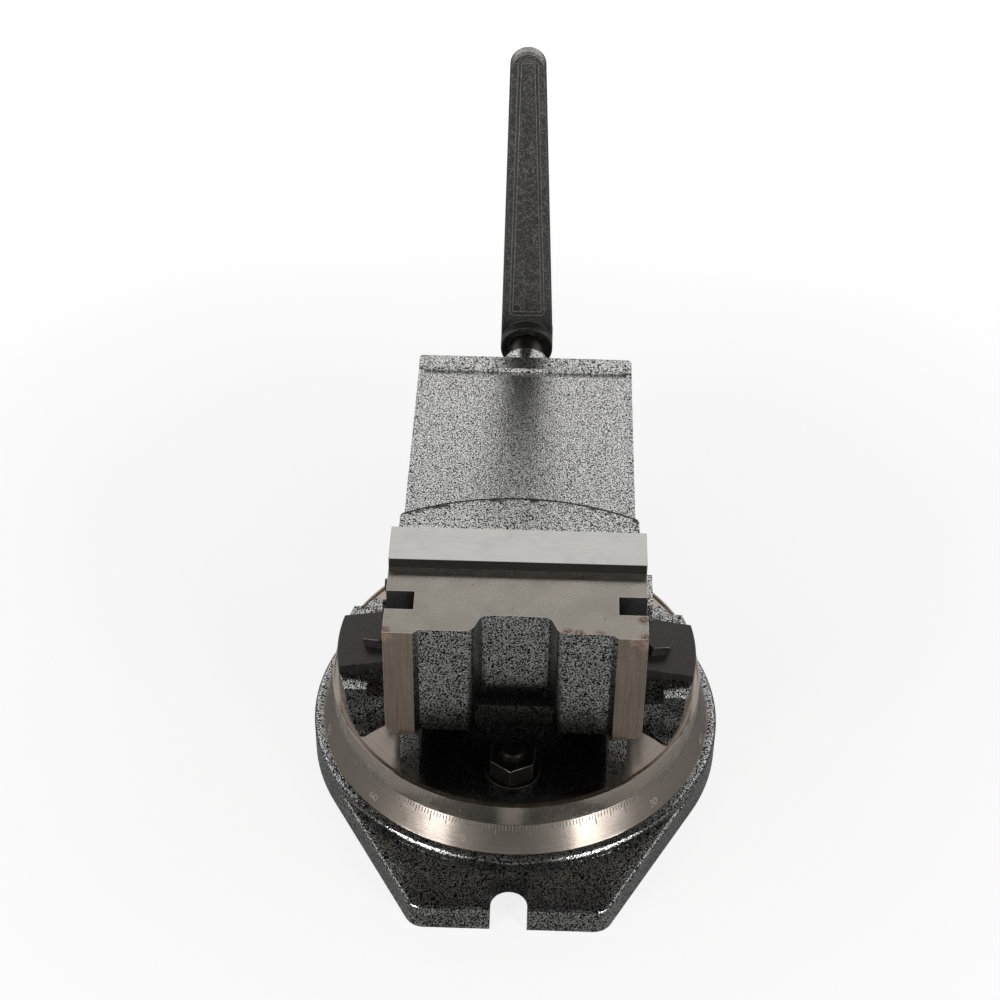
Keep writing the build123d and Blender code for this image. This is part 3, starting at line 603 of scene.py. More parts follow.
def thread_of(node, place, axis, pitch):
    """Height of a screw thread round the Y or Z axis, 1 at its crest, with its pitch in millimetres."""
    x, y, z = [node("SeparateXYZ", [place], name) for name in "XYZ"]
    along, first, second = (y, x, z) if axis == "Y" else (z, x, y)
    angle = node("Math", [second, first], operation="ARCTAN2")
    turn = node("Math", [angle, 1 / math.tau], operation="MULTIPLY")
    turns = node("Math", [along, 1 / (pitch * MM)], operation="MULTIPLY")
    phase = node("Math", [turns, turn], operation="ADD")
    wave_angle = node("Math", [phase, math.tau], operation="MULTIPLY")
    wave = node("Math", [wave_angle], operation="SINE")
    return node("MapRange", [wave, -0.6, 0.6], **EASED)


def black_oxide(colours, name, base, wear, thread_pitch=0.0):
    """Black oxide on bar steel: a dry, faintly mottled black film that rubs bright on the corners."""
    mottle_size = 2.4
    grain_size = 0.5
    grain_depth = 0.012
    thread_depth = 0.5
    edge_radius = 0.4
    material, node, shader, place = new_material(name, 0.75, 0.36)
    mottle = node("TexNoise", {"Vector": place, "Scale": per(mottle_size), "Detail": 4.0, "Roughness": 0.65})
    patches = node("MapRange", [mottle, 0.35, 0.7], **EASED)
    film = node("Mix", {0: patches, 6: shaded(base, 0.7), 7: base}, 2, data_type="RGBA")
    thin_film_and_arch_shadow = node("MapRange", [mottle, 0.34, 0.55, 0.35, 1.0], **EASED)
    rub = node("Math", [worn_edge(node, edge_radius), thin_film_and_arch_shadow], operation="MULTIPLY")
    rubbed = node("Math", [rub, wear], operation="MULTIPLY")
    if thread_pitch:
        height = thread_of(node, place, "Z", thread_pitch)
        depth = thread_depth
    else:
        height = node("TexNoise", {"Vector": place, "Scale": per(grain_size)})
        depth = grain_depth
    connect(shader, {
        "Base Color": node("Mix", {0: rubbed, 6: film, 7: colours.rubbed}, 2, data_type="RGBA"),
        "Roughness": node("MapRange", [mottle, 0.3, 0.7, 0.28, 0.44], **EASED),
        "Normal": node("Bump", {"Height": height, "Distance": depth * MM, "Strength": 1.0}),
    })
    return material


def threaded_steel(colours, name, base, pitch):
    """The lead screw's bright rolled steel, its thread drawn as relief up to the journal, with painted shade
    darkening the thread's roots.
    """
    thread_depth = 0.9
    run_out = 0.5
    material, node, shader, place = new_material(name, 1.0, 0.3)
    x, y, z = [node("SeparateXYZ", [place], axis) for axis in "XYZ"]
    rise = node("Math", [z, SCREW_HEIGHT * MM], operation="SUBTRACT")
    crest = thread_of(node, node("CombineXYZ", [x, y, rise]), "Y", pitch)
    threaded = node("MapRange", [y, JOURNAL_START * MM, (JOURNAL_START - run_out) * MM], **EASED)
    height = node("Math", [crest, threaded], operation="MULTIPLY")
    journal = node("MapRange", [threaded, 1, 0], **EASED)
    # Painted shade: the thread's roots are darkened between the crests; the journal stays plain.
    bright = node("Math", [height, journal], operation="MAXIMUM")
    connect(shader, {
        "Base Color": node("Mix", {0: bright, 6: shaded(base, 0.35), 7: base}, 2, data_type="RGBA"),
        "Normal": node("Bump", {"Height": height, "Distance": thread_depth * MM, "Strength": 1.0}),
    })
    return material


def stoved_black(colours, name):
    """Stoved black paint on a cast handle: satin, finely specked and rubbed through at the edges. The upward
    faces at its end are painted bare and pale, as painted light.
    """
    grain_size = 0.7
    chip_size = 1.1
    tip_size = 0.9
    relief_depth = 0.06
    edge_radius = 0.6
    speck_strength = 0.6
    tip_strength = 0.9
    bare_strength = 0.85
    bare_metallic = 0.9
    material, node, shader, place = new_material(name, 0.0, 0.32)
    peel = node("TexNoise", {"Vector": place, "Scale": per(grain_size)})
    fleck = node("TexNoise", {"Vector": place, "Scale": per(grain_size), "Roughness": 0.6})
    specks = node("MapRange", [fleck, 0.48, 0.66, 0.0, speck_strength], **EASED)
    chip = node("TexNoise", {"Vector": place, "Scale": per(chip_size), "Detail": 5.0, "Roughness": 0.75})
    chips = node("MapRange", [chip, 0.40, 0.54, 0.3, 1.0], **EASED)
    rub = node("Math", [worn_edge(node, edge_radius, 0.995, 0.94), chips], operation="MULTIPLY")
    # Painted light: near the end, the upward faces are made bare and pale in chips.
    upward = node("SeparateXYZ", [node("NewGeometry", output="True Normal")], "Z")
    facing_up = node("MapRange", [upward, 0.2, 0.75], **EASED)
    height = node("SeparateXYZ", [place], "Z")
    at_tip = node("MapRange", [height, HANDLE_TIP_START * MM, HANDLE_TIP_HIGH * MM], **EASED)
    tip_grain = node("TexNoise", {"Vector": place, "Scale": per(tip_size), "Detail": 3.0, "Roughness": 0.7})
    tip_chips = node("MapRange", [tip_grain, 0.40, 0.56, 0.3, 1.0], **EASED)
    lit_tip = node("Math", [facing_up, at_tip], operation="MULTIPLY")
    lit_tip = node("Math", [lit_tip, tip_chips], operation="MULTIPLY")
    lit_tip = node("Math", [lit_tip, tip_strength], operation="MULTIPLY")
    bare = node("Math", [rub, lit_tip], operation="MAXIMUM")
    paint = node("Mix", {0: specks, 6: colours.handle, 7: colours.speck}, 2, data_type="RGBA")
    bare_and_lit_share = node("Math", [bare, bare_strength], operation="MULTIPLY")
    connect(shader, {
        "Base Color": node("Mix", {0: bare_and_lit_share, 6: paint, 7: colours.bare}, 2, data_type="RGBA"),
        "Metallic": node("Math", [bare, bare_metallic], operation="MULTIPLY"),
        "Roughness": node("MapRange", [peel, 0.3, 0.7, 0.28, 0.42], **EASED),
        "Normal": node("Bump", {"Height": peel, "Distance": relief_depth * MM, "Strength": 1.0}),
    })
    return material


def engraved_floor(colours, name, base):
    """The dull, rough floor of an engraved line: dark beside a highlight and pale beside shade."""
    grime_size = 1.6
    material, node, shader, place = new_material(name, 0.0, 0.85)
    grime = node("TexNoise", {"Vector": place, "Scale": per(grime_size), "Detail": 3.0})
    clean = node("MapRange", [grime, 0.35, 0.65], **EASED)
    body = node("Mix", {0: clean, 6: shaded(base, 0.6), 7: base}, 2, data_type="RGBA")
    connect(shader, {"Base Color": body})
    return material


def dark_core(colours, name):
    """Painted shade on the rough cast hollow below the jaw and in the notches: flat, near black and grainy.
    """
    grain_size = 0.8
    grain_depth = 0.06
    material, node, shader, place = new_material(name, 0.0, 0.7)
    grain = node("TexNoise", {"Vector": place, "Scale": per(grain_size), "Detail": 3.0, "Roughness": 0.6})
    tops = node("MapRange", [grain, 0.4, 0.65], **EASED)
    body = node("Mix", {0: tops, 6: colours.primer_dark, 7: colours.primer_pale}, 2, data_type="RGBA")
    connect(shader, {
        "Base Color": body,
        "Normal": node("Bump", {"Height": grain, "Distance": grain_depth * MM, "Strength": 1.0}),
    })
    return material


def pale_floor(colours, name):
    """Plain table paper. Other surfaces see it mid grey, and the camera near white with its shadow kept."""
    patch_size = 240.0
    glow_share = 0.76
    # The glow grows away from the vise, so that the far floor runs out into white: the distances between
    # which it grows, in metres, and its strength at each.
    glow_near, glow_far = 0.12, 0.8
    strength_near, strength_far = 1.07, 1.4
    material, node, shader, place = new_material(name, 0.0, 0.9, Specular_IOR_Level=0.0)
    patch = node("TexNoise", {"Vector": place, "Scale": per(patch_size)})
    seen_by_camera = node("LightPath", output="Is Camera Ray")
    seen_through = node("LightPath", output="Is Transmission Ray")
    seen = node("Math", [seen_by_camera, seen_through], operation="MAXIMUM")
    plain = node("Mix", {0: patch, 6: colours.paper_dark, 7: colours.paper_mid}, 2, data_type="RGBA")
    pale = node("Mix", {0: patch, 6: colours.paper_pale, 7: colours.paper_white}, 2, data_type="RGBA")
    connect(shader, {"Base Color": node("Mix", {0: seen, 6: plain, 7: pale}, 2, data_type="RGBA")})
    away = node("VectorMath", [place], "Value", operation="LENGTH")
    strength = node("MapRange", [away, glow_near, glow_far, strength_near, strength_far], **EASED)
    glow = node("Emission", {"Color": WHITE, "Strength": strength})
    share = node("Math", [seen, glow_share], operation="MULTIPLY")
    blend = node("MixShader", [share, shader.outputs[0], glow])
    connect(material.node_tree.nodes["Material Output"], {"Surface": blend})
    return material


def studio_world(scene):
    """White sweep behind the object, up to about 47 degrees high, and a dim room in front and above."""
    room_level = 0.05
    # Parts of a direction's Y and Z between which the sweep starts behind the object and ends above it.
    sweep_start, sweep_behind = -0.1, 0.35
    sweep_end, sweep_top = 0.745, 0.72
    world = bpy.data.worlds.new("studio_room")
    scene.world = world
    world.use_nodes = True
    node = partial(add_node, world.node_tree)
    way = node("TexCoord", output="Generated")
    behind = node("MapRange", [node("SeparateXYZ", [way], "Y"), sweep_start, sweep_behind], **EASED)
    below = node("MapRange", [node("SeparateXYZ", [way], "Z"), sweep_end, sweep_top], **EASED)
    sweep = node("Math", [behind, below], operation="MULTIPLY")
    level = node("MapRange", [sweep, 0, 1, room_level, 1.0], **EASED)
    strength = node("Math", [level, node("LightPath", output="Is Camera Ray")], operation="MAXIMUM")
    connect(world.node_tree.nodes["Background"], {"Color": WHITE, "Strength": strength})


def finishes(context):
    """All materials by name, each made the first time that they are asked for."""
    colours = context.scene.vise_finishes
    sizes = context.scene.vise_sizes
    makers = {
        # One hammertone paint whose flake share is set per part: lower on the base, table and body, to paint
        # them darker, and higher on the hood, to paint it lighter, as painted shade and painted light for how
        # light falls on them.
        "body_hammertone_enamel": partial(hammertone_enamel, share=0.36),
        # The lobes' and the recess's enamel carry painted shade, darker towards the bottom of the fixed jaw's
        # front.
        "lobe_hammertone_enamel": partial(hammertone_enamel, share=0.42, low_shade=(55, 76)),
        "recess_hammertone_enamel": partial(hammertone_enamel, share=0.42, low_shade=(64, 82)),
        # The hood's enamel carries a painted shadow along its arched step.
        "hood_hammertone_enamel": partial(hammertone_enamel, share=0.52, painted_shadow=arch_flaw),
        # The step's enamel is a nearly non-metallic copy of the hood's, so that the riser shows lighter:
        # painted light.
        "step_hammertone_enamel": partial(hammertone_enamel, share=0.52, metallic=0.1),
        "face_milled_iron": partial(
            cut_iron, base=colours.milled, roughness=0.26, lay="arcs", spacing=0.5, depth=0.006, lines=0.16,
            mottle=0.8, pits=0.75, edge=0.85, rust_points=CORNER_RUST, rust_reach=3.2, rust_strength=0.9,
        ),
        "shaped_iron": partial(
            cut_iron, base=colours.milled, roughness=0.34, lay="along_z", spacing=0.4, depth=0.012,
            mottle=0.3, pits=0.5,
        ),
        "pad_filed_iron": partial(
            cut_iron, base=colours.pad, roughness=0.34, lay="along_z", spacing=0.55, depth=0.02, lines=0.42,
            mottle=0.9, edge=0.5, rust_points=PAD_RUST, rust_reach=4.0, rust_strength=0.5,
        ),
        "turned_iron": partial(
            cut_iron, base=colours.turned, roughness=0.17, lay="turned", spacing=0.9, depth=0.0008, lines=0.12
        ),
        # The table's upright turned faces take a lighter copy of the turned iron: painted light.
        "turned_rim_iron": partial(
            cut_iron, base=colours.rim, roughness=0.26, lay="turned", spacing=0.9, depth=0.0006, lines=0.12
        ),
        "surface_ground_steel": partial(
            cut_iron, base=colours.ground, roughness=0.11, lay="along_x", spacing=0.22, depth=0.0012,
            lines=0.10,
        ),
        "bright_bar_steel": partial(
            cut_iron, base=colours.plain, roughness=0.33, lay="along_x", spacing=0.3, depth=0.005
        ),
        "rolled_screw_steel": partial(threaded_steel, base=colours.plain, pitch=sizes.lead / MM),
        "blacked_oxide_steel": partial(black_oxide, base=colours.oxide, wear=0.5),
        "oiled_nut_steel": partial(black_oxide, base=colours.nut, wear=0.85),
        "oiled_thread_steel": partial(
            black_oxide, base=colours.nut, wear=0.85, thread_pitch=sizes.thread_pitch / MM
        ),
        "stoved_black_paint": stoved_black,
        "engraving_floor": partial(engraved_floor, base=colours.mark),
        "number_floor": partial(engraved_floor, base=colours.numeral),
        "primed_core_iron": dark_core,
        "machined_bronze": partial(
            cut_iron, base=colours.bronze, roughness=0.34, lay="along_z", spacing=0.35, depth=0.01
        ),
    }
    return {name: bpy.data.materials.get(name) or make(colours, name) for name, make in makers.items()}


# Operators, one for each piece or group of like pieces.


class VISE_OT_base_casting(bpy.types.Operator):
    """Adds the painted base casting with its turned cone"""

    bl_idname = "vise.base_casting"
    bl_label = "Base casting"

    def execute(self, context):
        sizes = context.scene.vise_sizes
        finish = finishes(context)
        cone = sizes.dial_low_radius / MM + 0.2
        foot = sizes.dial_foot / MM

        def painted(middle, *normals):
            return 1 < middle.z < foot + 1 and ring_of(middle) > cone + 0.5

        def machined(middle, normal):
            dial = middle.z > foot - 0.1 and ring_of(middle) < cone
            underside = middle.z < 0.05 and normal.z < -SQUARE
            inside = ring_of(middle) < cone - BASE_WALL and middle.z > 2
            return dial or underside or inside

        piece = copy_of("base_casting", "base_body")
        round_edges(piece, sizes.cast_round, 3, painted)
        round_edges(piece, sizes.edge_break, 2, lambda middle, *normals: not painted(middle))
        smooth(piece)
        dress(
            piece, "base", ["base_casting"], "hammertone_casting", finish["body_hammertone_enamel"],
            (finish["turned_iron"], machined),
        )
        return {"FINISHED"}


def on_cone(sizes, angle, drop, lift):
    """Place on the graduated cone: X runs round the dial, Y up the slope and Z outwards."""
    across = sizes.dial_low_radius - sizes.dial_top_radius
    rise = sizes.dial_top - sizes.dial_foot
    slant = math.hypot(across, rise)
    out = Vector((math.sin(angle), -math.cos(angle), 0))
    tangent = Vector((math.cos(angle), math.sin(angle), 0))
    up = (Vector((0, 0, rise)) - out * across) / slant
    normal = (out * rise + Vector((0, 0, across))) / slant
    top = out * sizes.dial_top_radius + Vector((0, 0, sizes.dial_top))
    return placed((tangent, up, normal, top - up * drop + normal * lift))


class VISE_OT_dial_marks(bpy.types.Operator):
    """Adds the graduations and numbers of the dial"""

    bl_idname = "vise.dial_marks"
    bl_label = "Dial marks"

    def execute(self, context):
        sizes = context.scene.vise_sizes
        finish = finishes(context)
        margin = TICK_GAP * MM
        depth = TICK_THICKNESS * MM
        patterns = {}
        for step, run in TICK_RUNS.items():
            bpy.ops.mesh.primitive_cube_add(size=1)
            bar = bpy.context.active_object
            bar.scale = (sizes.tick_width, run * MM, depth)
            bpy.ops.object.transform_apply()
            # The outer end of a cut runs out thin.
            bpy.ops.object.mode_set(mode="EDIT")
            bpy.ops.mesh.select_all(action="DESELECT")
            bpy.ops.object.mode_set(mode="OBJECT")
            for vertex in bar.data.vertices:
                vertex.select = vertex.co.y < 0
            bpy.ops.object.mode_set(mode="EDIT")
            bpy.ops.transform.resize(value=(TICK_TAPER, 1, 1))
            bpy.ops.object.mode_set(mode="OBJECT")
            patterns[step] = bar
        marks = []
        for number in range(sizes.tick_count):
            # Above a number the mark is as short as at five degrees.
            step = 1
            if number % 5 == 0:
                step = 5
            if number % 10 == 0 and number % NUMBER_STEP:
                step = 10
            angle = sizes.zero_angle + math.tau * number / sizes.tick_count
            run = TICK_RUNS[step] * MM
            mesh = patterns[step].data.copy()
            mesh.transform(on_cone(sizes, angle, margin + run / 2, sizes.tick_relief - depth / 2))
            mark = bpy.data.objects.new("mark", mesh)
            bpy.context.scene.collection.objects.link(mark)
            marks.append(mark)
        for number in range(0, 360, NUMBER_STEP):
            # The numbers rise from 0 to 90 and fall back to 0 over each half turn.
            bpy.ops.object.text_add()
            text = bpy.context.active_object
            text.data.body = str(min(number % 180, -number % 180))
            text.data.align_x = "CENTER"
            text.data.align_y = "CENTER"
            text.data.size = sizes.numeral_height * FONT_SIZE_SHARE
            text.data.extrude = depth / 2
            text.data.resolution_u = 4
            only(text)
            bpy.ops.object.convert(target="MESH")
            text = bpy.context.active_object
            angle = sizes.zero_angle + math.radians(number)
            text.data.transform(on_cone(sizes, angle, sizes.numeral_drop, sizes.tick_relief * 2 - depth / 2))
            marks.append(text)
        for bar in patterns.values():
            bpy.data.objects.remove(bar)
        only(*marks)
        bpy.ops.object.join()
        piece = named(bpy.context.active_object, "dial_marks")
        only(piece)
        bpy.ops.object.mode_set(mode="EDIT")
        bpy.ops.mesh.select_all(action="SELECT")
        bpy.ops.mesh.remove_doubles(threshold=0.0005 * MM)
        bpy.ops.mesh.normals_make_consistent(inside=False)
        bpy.ops.object.mode_set(mode="OBJECT")
        longest = max(TICK_RUNS.values()) + 1

        def on_number(middle, normal):
            return middle.z < sizes.dial_top / MM - longest

        dress(
            piece, "base", [], "hammertone_casting", finish["engraving_floor"],
            (finish["number_floor"], on_number),
        )
        return {"FINISHED"}


class VISE_OT_swivel_table(bpy.types.Operator):
    """Adds the swivel table with its turned rim and painted lugs"""

    bl_idname = "vise.swivel_table"
    bl_label = "Swivel table"

    def execute(self, context):
        sizes = context.scene.vise_sizes
        finish = finishes(context)

        def on_lug(middle, *normals):
            return middle.z > TABLE_TOP + 0.5 and abs(middle.x) > LUG_OFFSET

        def machined(middle, normal):
            in_floor = ring_of(middle) < TABLE_FLOOR_RADIUS and abs(middle.x) < TABLE_FLOOR_OFFSET
            on_floor = in_floor and TABLE_TOP - TABLE_FLOOR_DEPTH < middle.z < TABLE_TOP - 0.02
            return middle.z < TABLE_TOP + 0.05 and not on_floor

        def upright(middle, normal):
            return machined(middle, normal) and abs(normal.z) < 0.6

        piece = copy_of("swivel_table", "table_body")
        round_edges(piece, sizes.lug_round, 3, on_lug)
        round_edges(piece, sizes.edge_break, 2, lambda middle, *normals: middle.z < TABLE_TOP + 0.2)
        smooth(piece)
        dress(
            piece, "swivel", ["swivel_table"], "hammertone_casting", finish["body_hammertone_enamel"],
            (finish["turned_iron"], machined), (finish["turned_rim_iron"], upright),
        )
        return {"FINISHED"}


class VISE_OT_vise_body(bpy.types.Operator):
    """Adds the bed casting with the fixed jaw block"""

    bl_idname = "vise.vise_body"
    bl_label = "Vise body"

    def execute(self, context):
        sizes = context.scene.vise_sizes
        finish = finishes(context)
        low, high = (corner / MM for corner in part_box("vise_body"))

        def milled(middle, normal):
            on_top = middle.z > high.z - TOP_BAND
            on_way = near(middle.z, WAY_TOP) or near(middle.z, WAY_UNDERSIDE)
            return on_top or (on_way and abs(normal.z) > 0.7) or middle.z < low.z + 0.1

        def shaped(middle, normal):
            side = abs(middle.x) > BLOCK_SIDE_OFFSET and middle.z < high.z - TOP_BAND
            seat = near(middle.y, PLATE_SEAT, 0.05) and abs(normal.y) > SQUARE
            gib_side = near(abs(middle.x), GIB_SIDE_OFFSET, 0.1) and GIB_SIDE_LOW < middle.z < WAY_TOP
            foot = middle.y < LEG_REAR and abs(middle.x) > LEG_OFFSET and middle.z < LEG_FOOT_TOP
            return side or seat or gib_side or (foot and abs(normal.z) > 0.3)

        def lobe(middle, normal):
            return middle.y < LOBE_REAR and abs(middle.x) < LEG_OFFSET and middle.z > LOBE_LOW

        def recess(middle, normal):
            between = abs(middle.x) < RECESS_OFFSET and RECESS_FRONT < middle.y < LOBE_REAR
            return between and LOBE_LOW < middle.z < high.z - 0.1

        # The notches, the core between the rails and the underside take a near black finish: painted shade.
        def hollow(middle, normal):
            in_notch = abs(middle.x) > NOTCH_OFFSET and LEG_REAR < middle.y < NOTCH_REAR
            notch = in_notch and NOTCH_FLOOR < middle.z < high.z - 0.1
            between = abs(middle.x) < CORE_OFFSET
            core = between and middle.z < CORE_TOP and middle.y > CORE_FRONT
            underside = between and middle.z < UNDERSIDE_TOP and normal.z < -SQUARE
            return notch or core or underside

        def pad(middle, normal):
            in_front = near(middle.y, PAD_FRONT, 0.5) and abs(middle.x) > PAD_OFFSET
            return in_front and middle.z < high.z - TOP_BAND

        def cast(middle, *normals):
            behind = middle.y > low.y + 1
            between = abs(middle.x) < PAD_OFFSET and middle.y < CAST_EDGE_REAR and middle.z < high.z - 1
            return behind and (middle.z < CAST_EDGE_TOP or between)

        def on_lobe(middle):
            return middle.y < LOBE_REAR and abs(middle.x) < LOBE_EDGE_OFFSET

        def lobe_side(middle, *normals):
            upright = all(abs(normal.z) < UPRIGHT for normal in normals)
            return upright and on_lobe(middle) and middle.z > LOBE_FOOT_TOP

        def lobe_foot(middle, *normals):
            below = any(normal.z < -SQUARE for normal in normals)
            return below and on_lobe(middle) and middle.z < LOBE_FOOT_TOP

        piece = copy_of("vise_body", "bed_and_fixed_jaw")
        round_edges(piece, sizes.lobe_round, 5, lobe_side)
        round_edges(piece, sizes.lobe_round, 5, lobe_foot)
        round_edges(piece, sizes.cast_round, 3, cast)
        round_edges(piece, sizes.edge_break, 2, lambda middle, *normals: not cast(middle))
        smooth(piece)
        dress(
            piece, "swivel", ["vise_body"], "hammertone_casting", finish["body_hammertone_enamel"],
            (finish["lobe_hammertone_enamel"], lobe), (finish["recess_hammertone_enamel"], recess),
            (finish["primed_core_iron"], hollow), (finish["face_milled_iron"], milled),
            (finish["shaped_iron"], shaped), (finish["pad_filed_iron"], pad),
        )
        return {"FINISHED"}


class VISE_OT_moving_jaw(bpy.types.Operator):
    """Adds the moving jaw casting with its hood and boss"""

    bl_idname = "vise.moving_jaw"
    bl_label = "Moving jaw"

    def execute(self, context):
        sizes = context.scene.vise_sizes
        finish = finishes(context)

        def machined(middle, normal):
            slide = middle.z < SLIDE_TOP and abs(normal.z) > SQUARE
            seat = near(middle.y, MOVING_SEAT, 0.1) and abs(normal.y) > SQUARE
            bore = math.hypot(middle.x, middle.z - SCREW_HEIGHT) < BORE_RADIUS and middle.y > BOSS_START
            return slide or seat or bore or middle.y > BOSS_END

        def outside(middle, *normals):
            behind = middle.z > HOOD_LOW and middle.y > HOOD_FRONT
            return behind and not machined(middle, Vector((0, 0, 0)))

        # The riser of the step behind the hood takes the lighter copy of the enamel, as painted light.
        def step(middle, normal):
            between = STEP_FRONT < middle.y < STEP_REAR and STEP_LOW < middle.z < STEP_HIGH
            return between and normal.y < -0.15

        piece = copy_of("moving_jaw", "hood_and_moving_jaw")
        round_edges(piece, sizes.hood_round, 3, outside)
        round_edges(piece, sizes.edge_break, 2, lambda middle, *normals: not outside(middle))
        smooth(piece)
        dress(
            piece, "jaw", ["moving_jaw"], "hammertone_casting", finish["hood_hammertone_enamel"],
            (finish["shaped_iron"], machined), (finish["step_hammertone_enamel"], step),
        )
        return {"FINISHED"}


class VISE_OT_jaw_plates(bpy.types.Operator):
    """Adds the two ground jaw plates"""

    bl_idname = "vise.jaw_plates"
    bl_label = "Jaw plates"

    def execute(self, context):
        finish = finishes(context)
        jaw_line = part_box("fixed_jaw_plate")[1].y
        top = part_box("fixed_jaw_plate")[1].z
        for node, body in (("fixed_jaw_plate", "swivel"), ("moving_jaw_plate", "jaw")):
            piece = copy_of(node, node + "_ground")
            # The plates' tops are ground as one, so their break at the jaw line is closed up to the top.
            chosen = [
                vertex.index for vertex in piece.data.vertices
                if near(vertex.co.y, jaw_line, 0.01 * MM) and top - 0.3 * MM < vertex.co.z < top - 0.01 * MM
            ]
            lift_vertices(piece, chosen, top)
            smooth(piece)
            dress(piece, body, [node], "ground_steel", finish["surface_ground_steel"])
        return {"FINISHED"}


class VISE_OT_clamp_straps(bpy.types.Operator):
    """Adds the two black clamp straps and their hexagon bolts"""

    bl_idname = "vise.clamp_straps"
    bl_label = "Clamp straps"

    def execute(self, context):
        sizes = context.scene.vise_sizes
        finish = finishes(context)
        for node in ("clamp_strap_left", "clamp_strap_right", "clamp_strap_bolts"):
            piece = copy_of(node, node + "_black")
            round_edges(piece, sizes.steel_round, 2)
            smooth(piece)
            dress(piece, "swivel", [node], "black_oxide_steel", finish["blacked_oxide_steel"])
        return {"FINISHED"}


class VISE_OT_swivel_bolts(bpy.types.Operator):
    """Adds the swivel bolts with their washers and nuts"""

    bl_idname = "vise.swivel_bolts"
    bl_label = "Swivel bolts"

    def execute(self, context):
        sizes = context.scene.vise_sizes
        finish = finishes(context)
        fasteners = {
            "swivel_bolts": ("swivel", "oiled_thread_steel"),
            "swivel_washers": ("swivel", "oiled_nut_steel"),
            "swivel_nut_front": ("front_nut", "oiled_nut_steel"),
            "swivel_nut_rear": ("rear_nut", "oiled_nut_steel"),
        }
        for node, (body, coat) in fasteners.items():
            piece = copy_of(node, node + "_black")
            # A small fastener's edges are half as round as a strap's.
            round_edges(piece, sizes.steel_round * 0.5, 2)
            smooth(piece)
            dress(piece, body, [node], "black_oxide_steel", finish[coat])
        return {"FINISHED"}


class VISE_OT_crank_handle(bpy.types.Operator):
    """Adds the crank handle"""

    bl_idname = "vise.crank_handle"
    bl_label = "Crank handle"

    def execute(self, context):
        piece = copy_of("crank_handle", "crank_lever")
        smooth(piece)
        dress(piece, "screw", ["crank_handle"], "black_casting", finishes(context)["stoved_black_paint"])
        return {"FINISHED"}


class VISE_OT_inner_pieces(bpy.types.Operator):
    """Finishes the pieces whose solids stay as they are"""

    bl_idname = "vise.inner_pieces"
    bl_label = "Inner pieces"

    def execute(self, context):
        finish = finishes(context)
        kept = {
            "machined_bronze": ("feed_nut",),
            "bright_bar_steel": ("thrust_washer", "gib_strip", "keeper_left", "keeper_right"),
            "rolled_screw_steel": ("lead_screw",),
            "blacked_oxide_steel": (
                "fixed_plate_screws", "moving_plate_screws", "keeper_screws", "gib_screws", "feed_nut_screws",
                "collar_setscrew", "handle_pin", "shaft_collar",
            ),
        }
        for name, nodes in kept.items():
            for node in nodes:
                for slot in NODES[node].material_slots:
                    slot.material = finish[name]
        return {"FINISHED"}


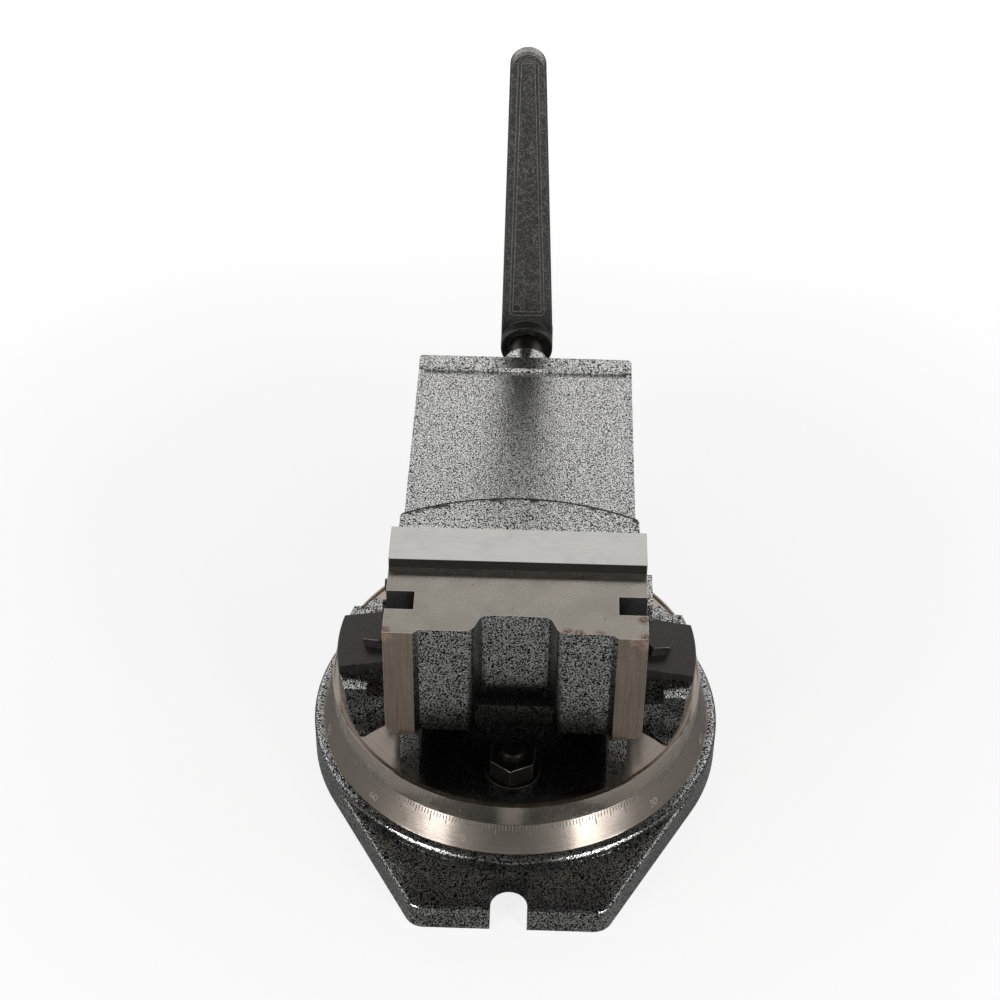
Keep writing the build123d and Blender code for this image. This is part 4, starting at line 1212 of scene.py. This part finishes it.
class VISE_OT_stage(bpy.types.Operator):
    """Adds the floor, the soft studio light and the camera"""

    bl_idname = "vise.stage"
    bl_label = "Stage"

    def execute(self, context):
        scene = context.scene
        bpy.ops.mesh.primitive_plane_add(size=FLOOR_WIDTH)
        floor = named(bpy.context.active_object, "studio_floor")
        # The floor lies just below the base, so that the two faces don't mix.
        floor.data.transform(Matrix.Translation((0, 0, -FLOOR_GAP * MM)))
        floor.data.materials.append(pale_floor(scene.vise_finishes, "pale_floor_paint"))

        for name, (azimuth, elevation, distance, width, height, power) in SOFTBOXES.items():
            turn = math.radians(azimuth)
            rise = math.radians(elevation)
            away = Vector((math.sin(turn) * math.cos(rise), -math.cos(turn) * math.cos(rise), math.sin(rise)))
            data = bpy.data.lights.new(name, "AREA")
            data.shape = "RECTANGLE"
            data.size = width
            data.size_y = height
            data.energy = power
            lamp = bpy.data.objects.new(name, data)
            scene.collection.objects.link(lamp)
            lamp.location = Vector(LAMP_TARGET) + away * distance
            lamp.rotation_euler = (-away).to_track_quat("-Z", "Y").to_euler()
            lamp.visible_camera = False
        studio_world(scene)

        data = bpy.data.cameras.new("photo_camera")
        data.sensor_width = CAMERA_SENSOR
        data.lens = CAMERA_LENS
        data.clip_start = CAMERA_NEAR
        data.clip_end = CAMERA_FAR
        camera = bpy.data.objects.new("photo_camera", data)
        scene.collection.objects.link(camera)
        camera.matrix_world = placed((CAMERA_RIGHT, CAMERA_UP, CAMERA_BACK, CAMERA_PLACE))
        scene.camera = camera
        scene.view_settings.view_transform = "Standard"
        return {"FINISHED"}


OPERATORS = (
    VISE_OT_base_casting,
    VISE_OT_dial_marks,
    VISE_OT_swivel_table,
    VISE_OT_vise_body,
    VISE_OT_moving_jaw,
    VISE_OT_jaw_plates,
    VISE_OT_clamp_straps,
    VISE_OT_swivel_bolts,
    VISE_OT_crank_handle,
    VISE_OT_inner_pieces,
    VISE_OT_stage,
)


class VISE_PT_panel(bpy.types.Panel):
    """Lists the vise's pieces in the sidebar"""

    bl_idname = "VISE_PT_panel"
    bl_label = "Swivel machine vise"
    bl_space_type = "VIEW_3D"
    bl_region_type = "UI"
    bl_category = "Vise"

    def draw(self, context):
        for operator in OPERATORS:
            self.layout.operator(operator.bl_idname)
        for group in (context.scene.vise_sizes, context.scene.vise_finishes):
            box = self.layout.box()
            for name in group.bl_rna.properties.keys():
                if name not in ("rna_type", "name"):
                    box.prop(group, name)


CLASSES = (ViseSizes, ViseFinishes, *OPERATORS, VISE_PT_panel)


def register():
    """Registers the classes and hangs the settings on the scene."""
    for item in CLASSES:
        bpy.utils.register_class(item)
    bpy.types.Scene.vise_sizes = PointerProperty(type=ViseSizes)
    bpy.types.Scene.vise_finishes = PointerProperty(type=ViseFinishes)


def unregister():
    """Takes the settings and the classes away again."""
    del bpy.types.Scene.vise_finishes
    del bpy.types.Scene.vise_sizes
    for item in reversed(CLASSES):
        bpy.utils.unregister_class(item)


def main():
    """Builds every piece in order."""
    register()
    for operator in OPERATORS:
        group, name = operator.bl_idname.split(".")
        getattr(getattr(bpy.ops, group), name)()


if __name__ == "__main__":
    main()
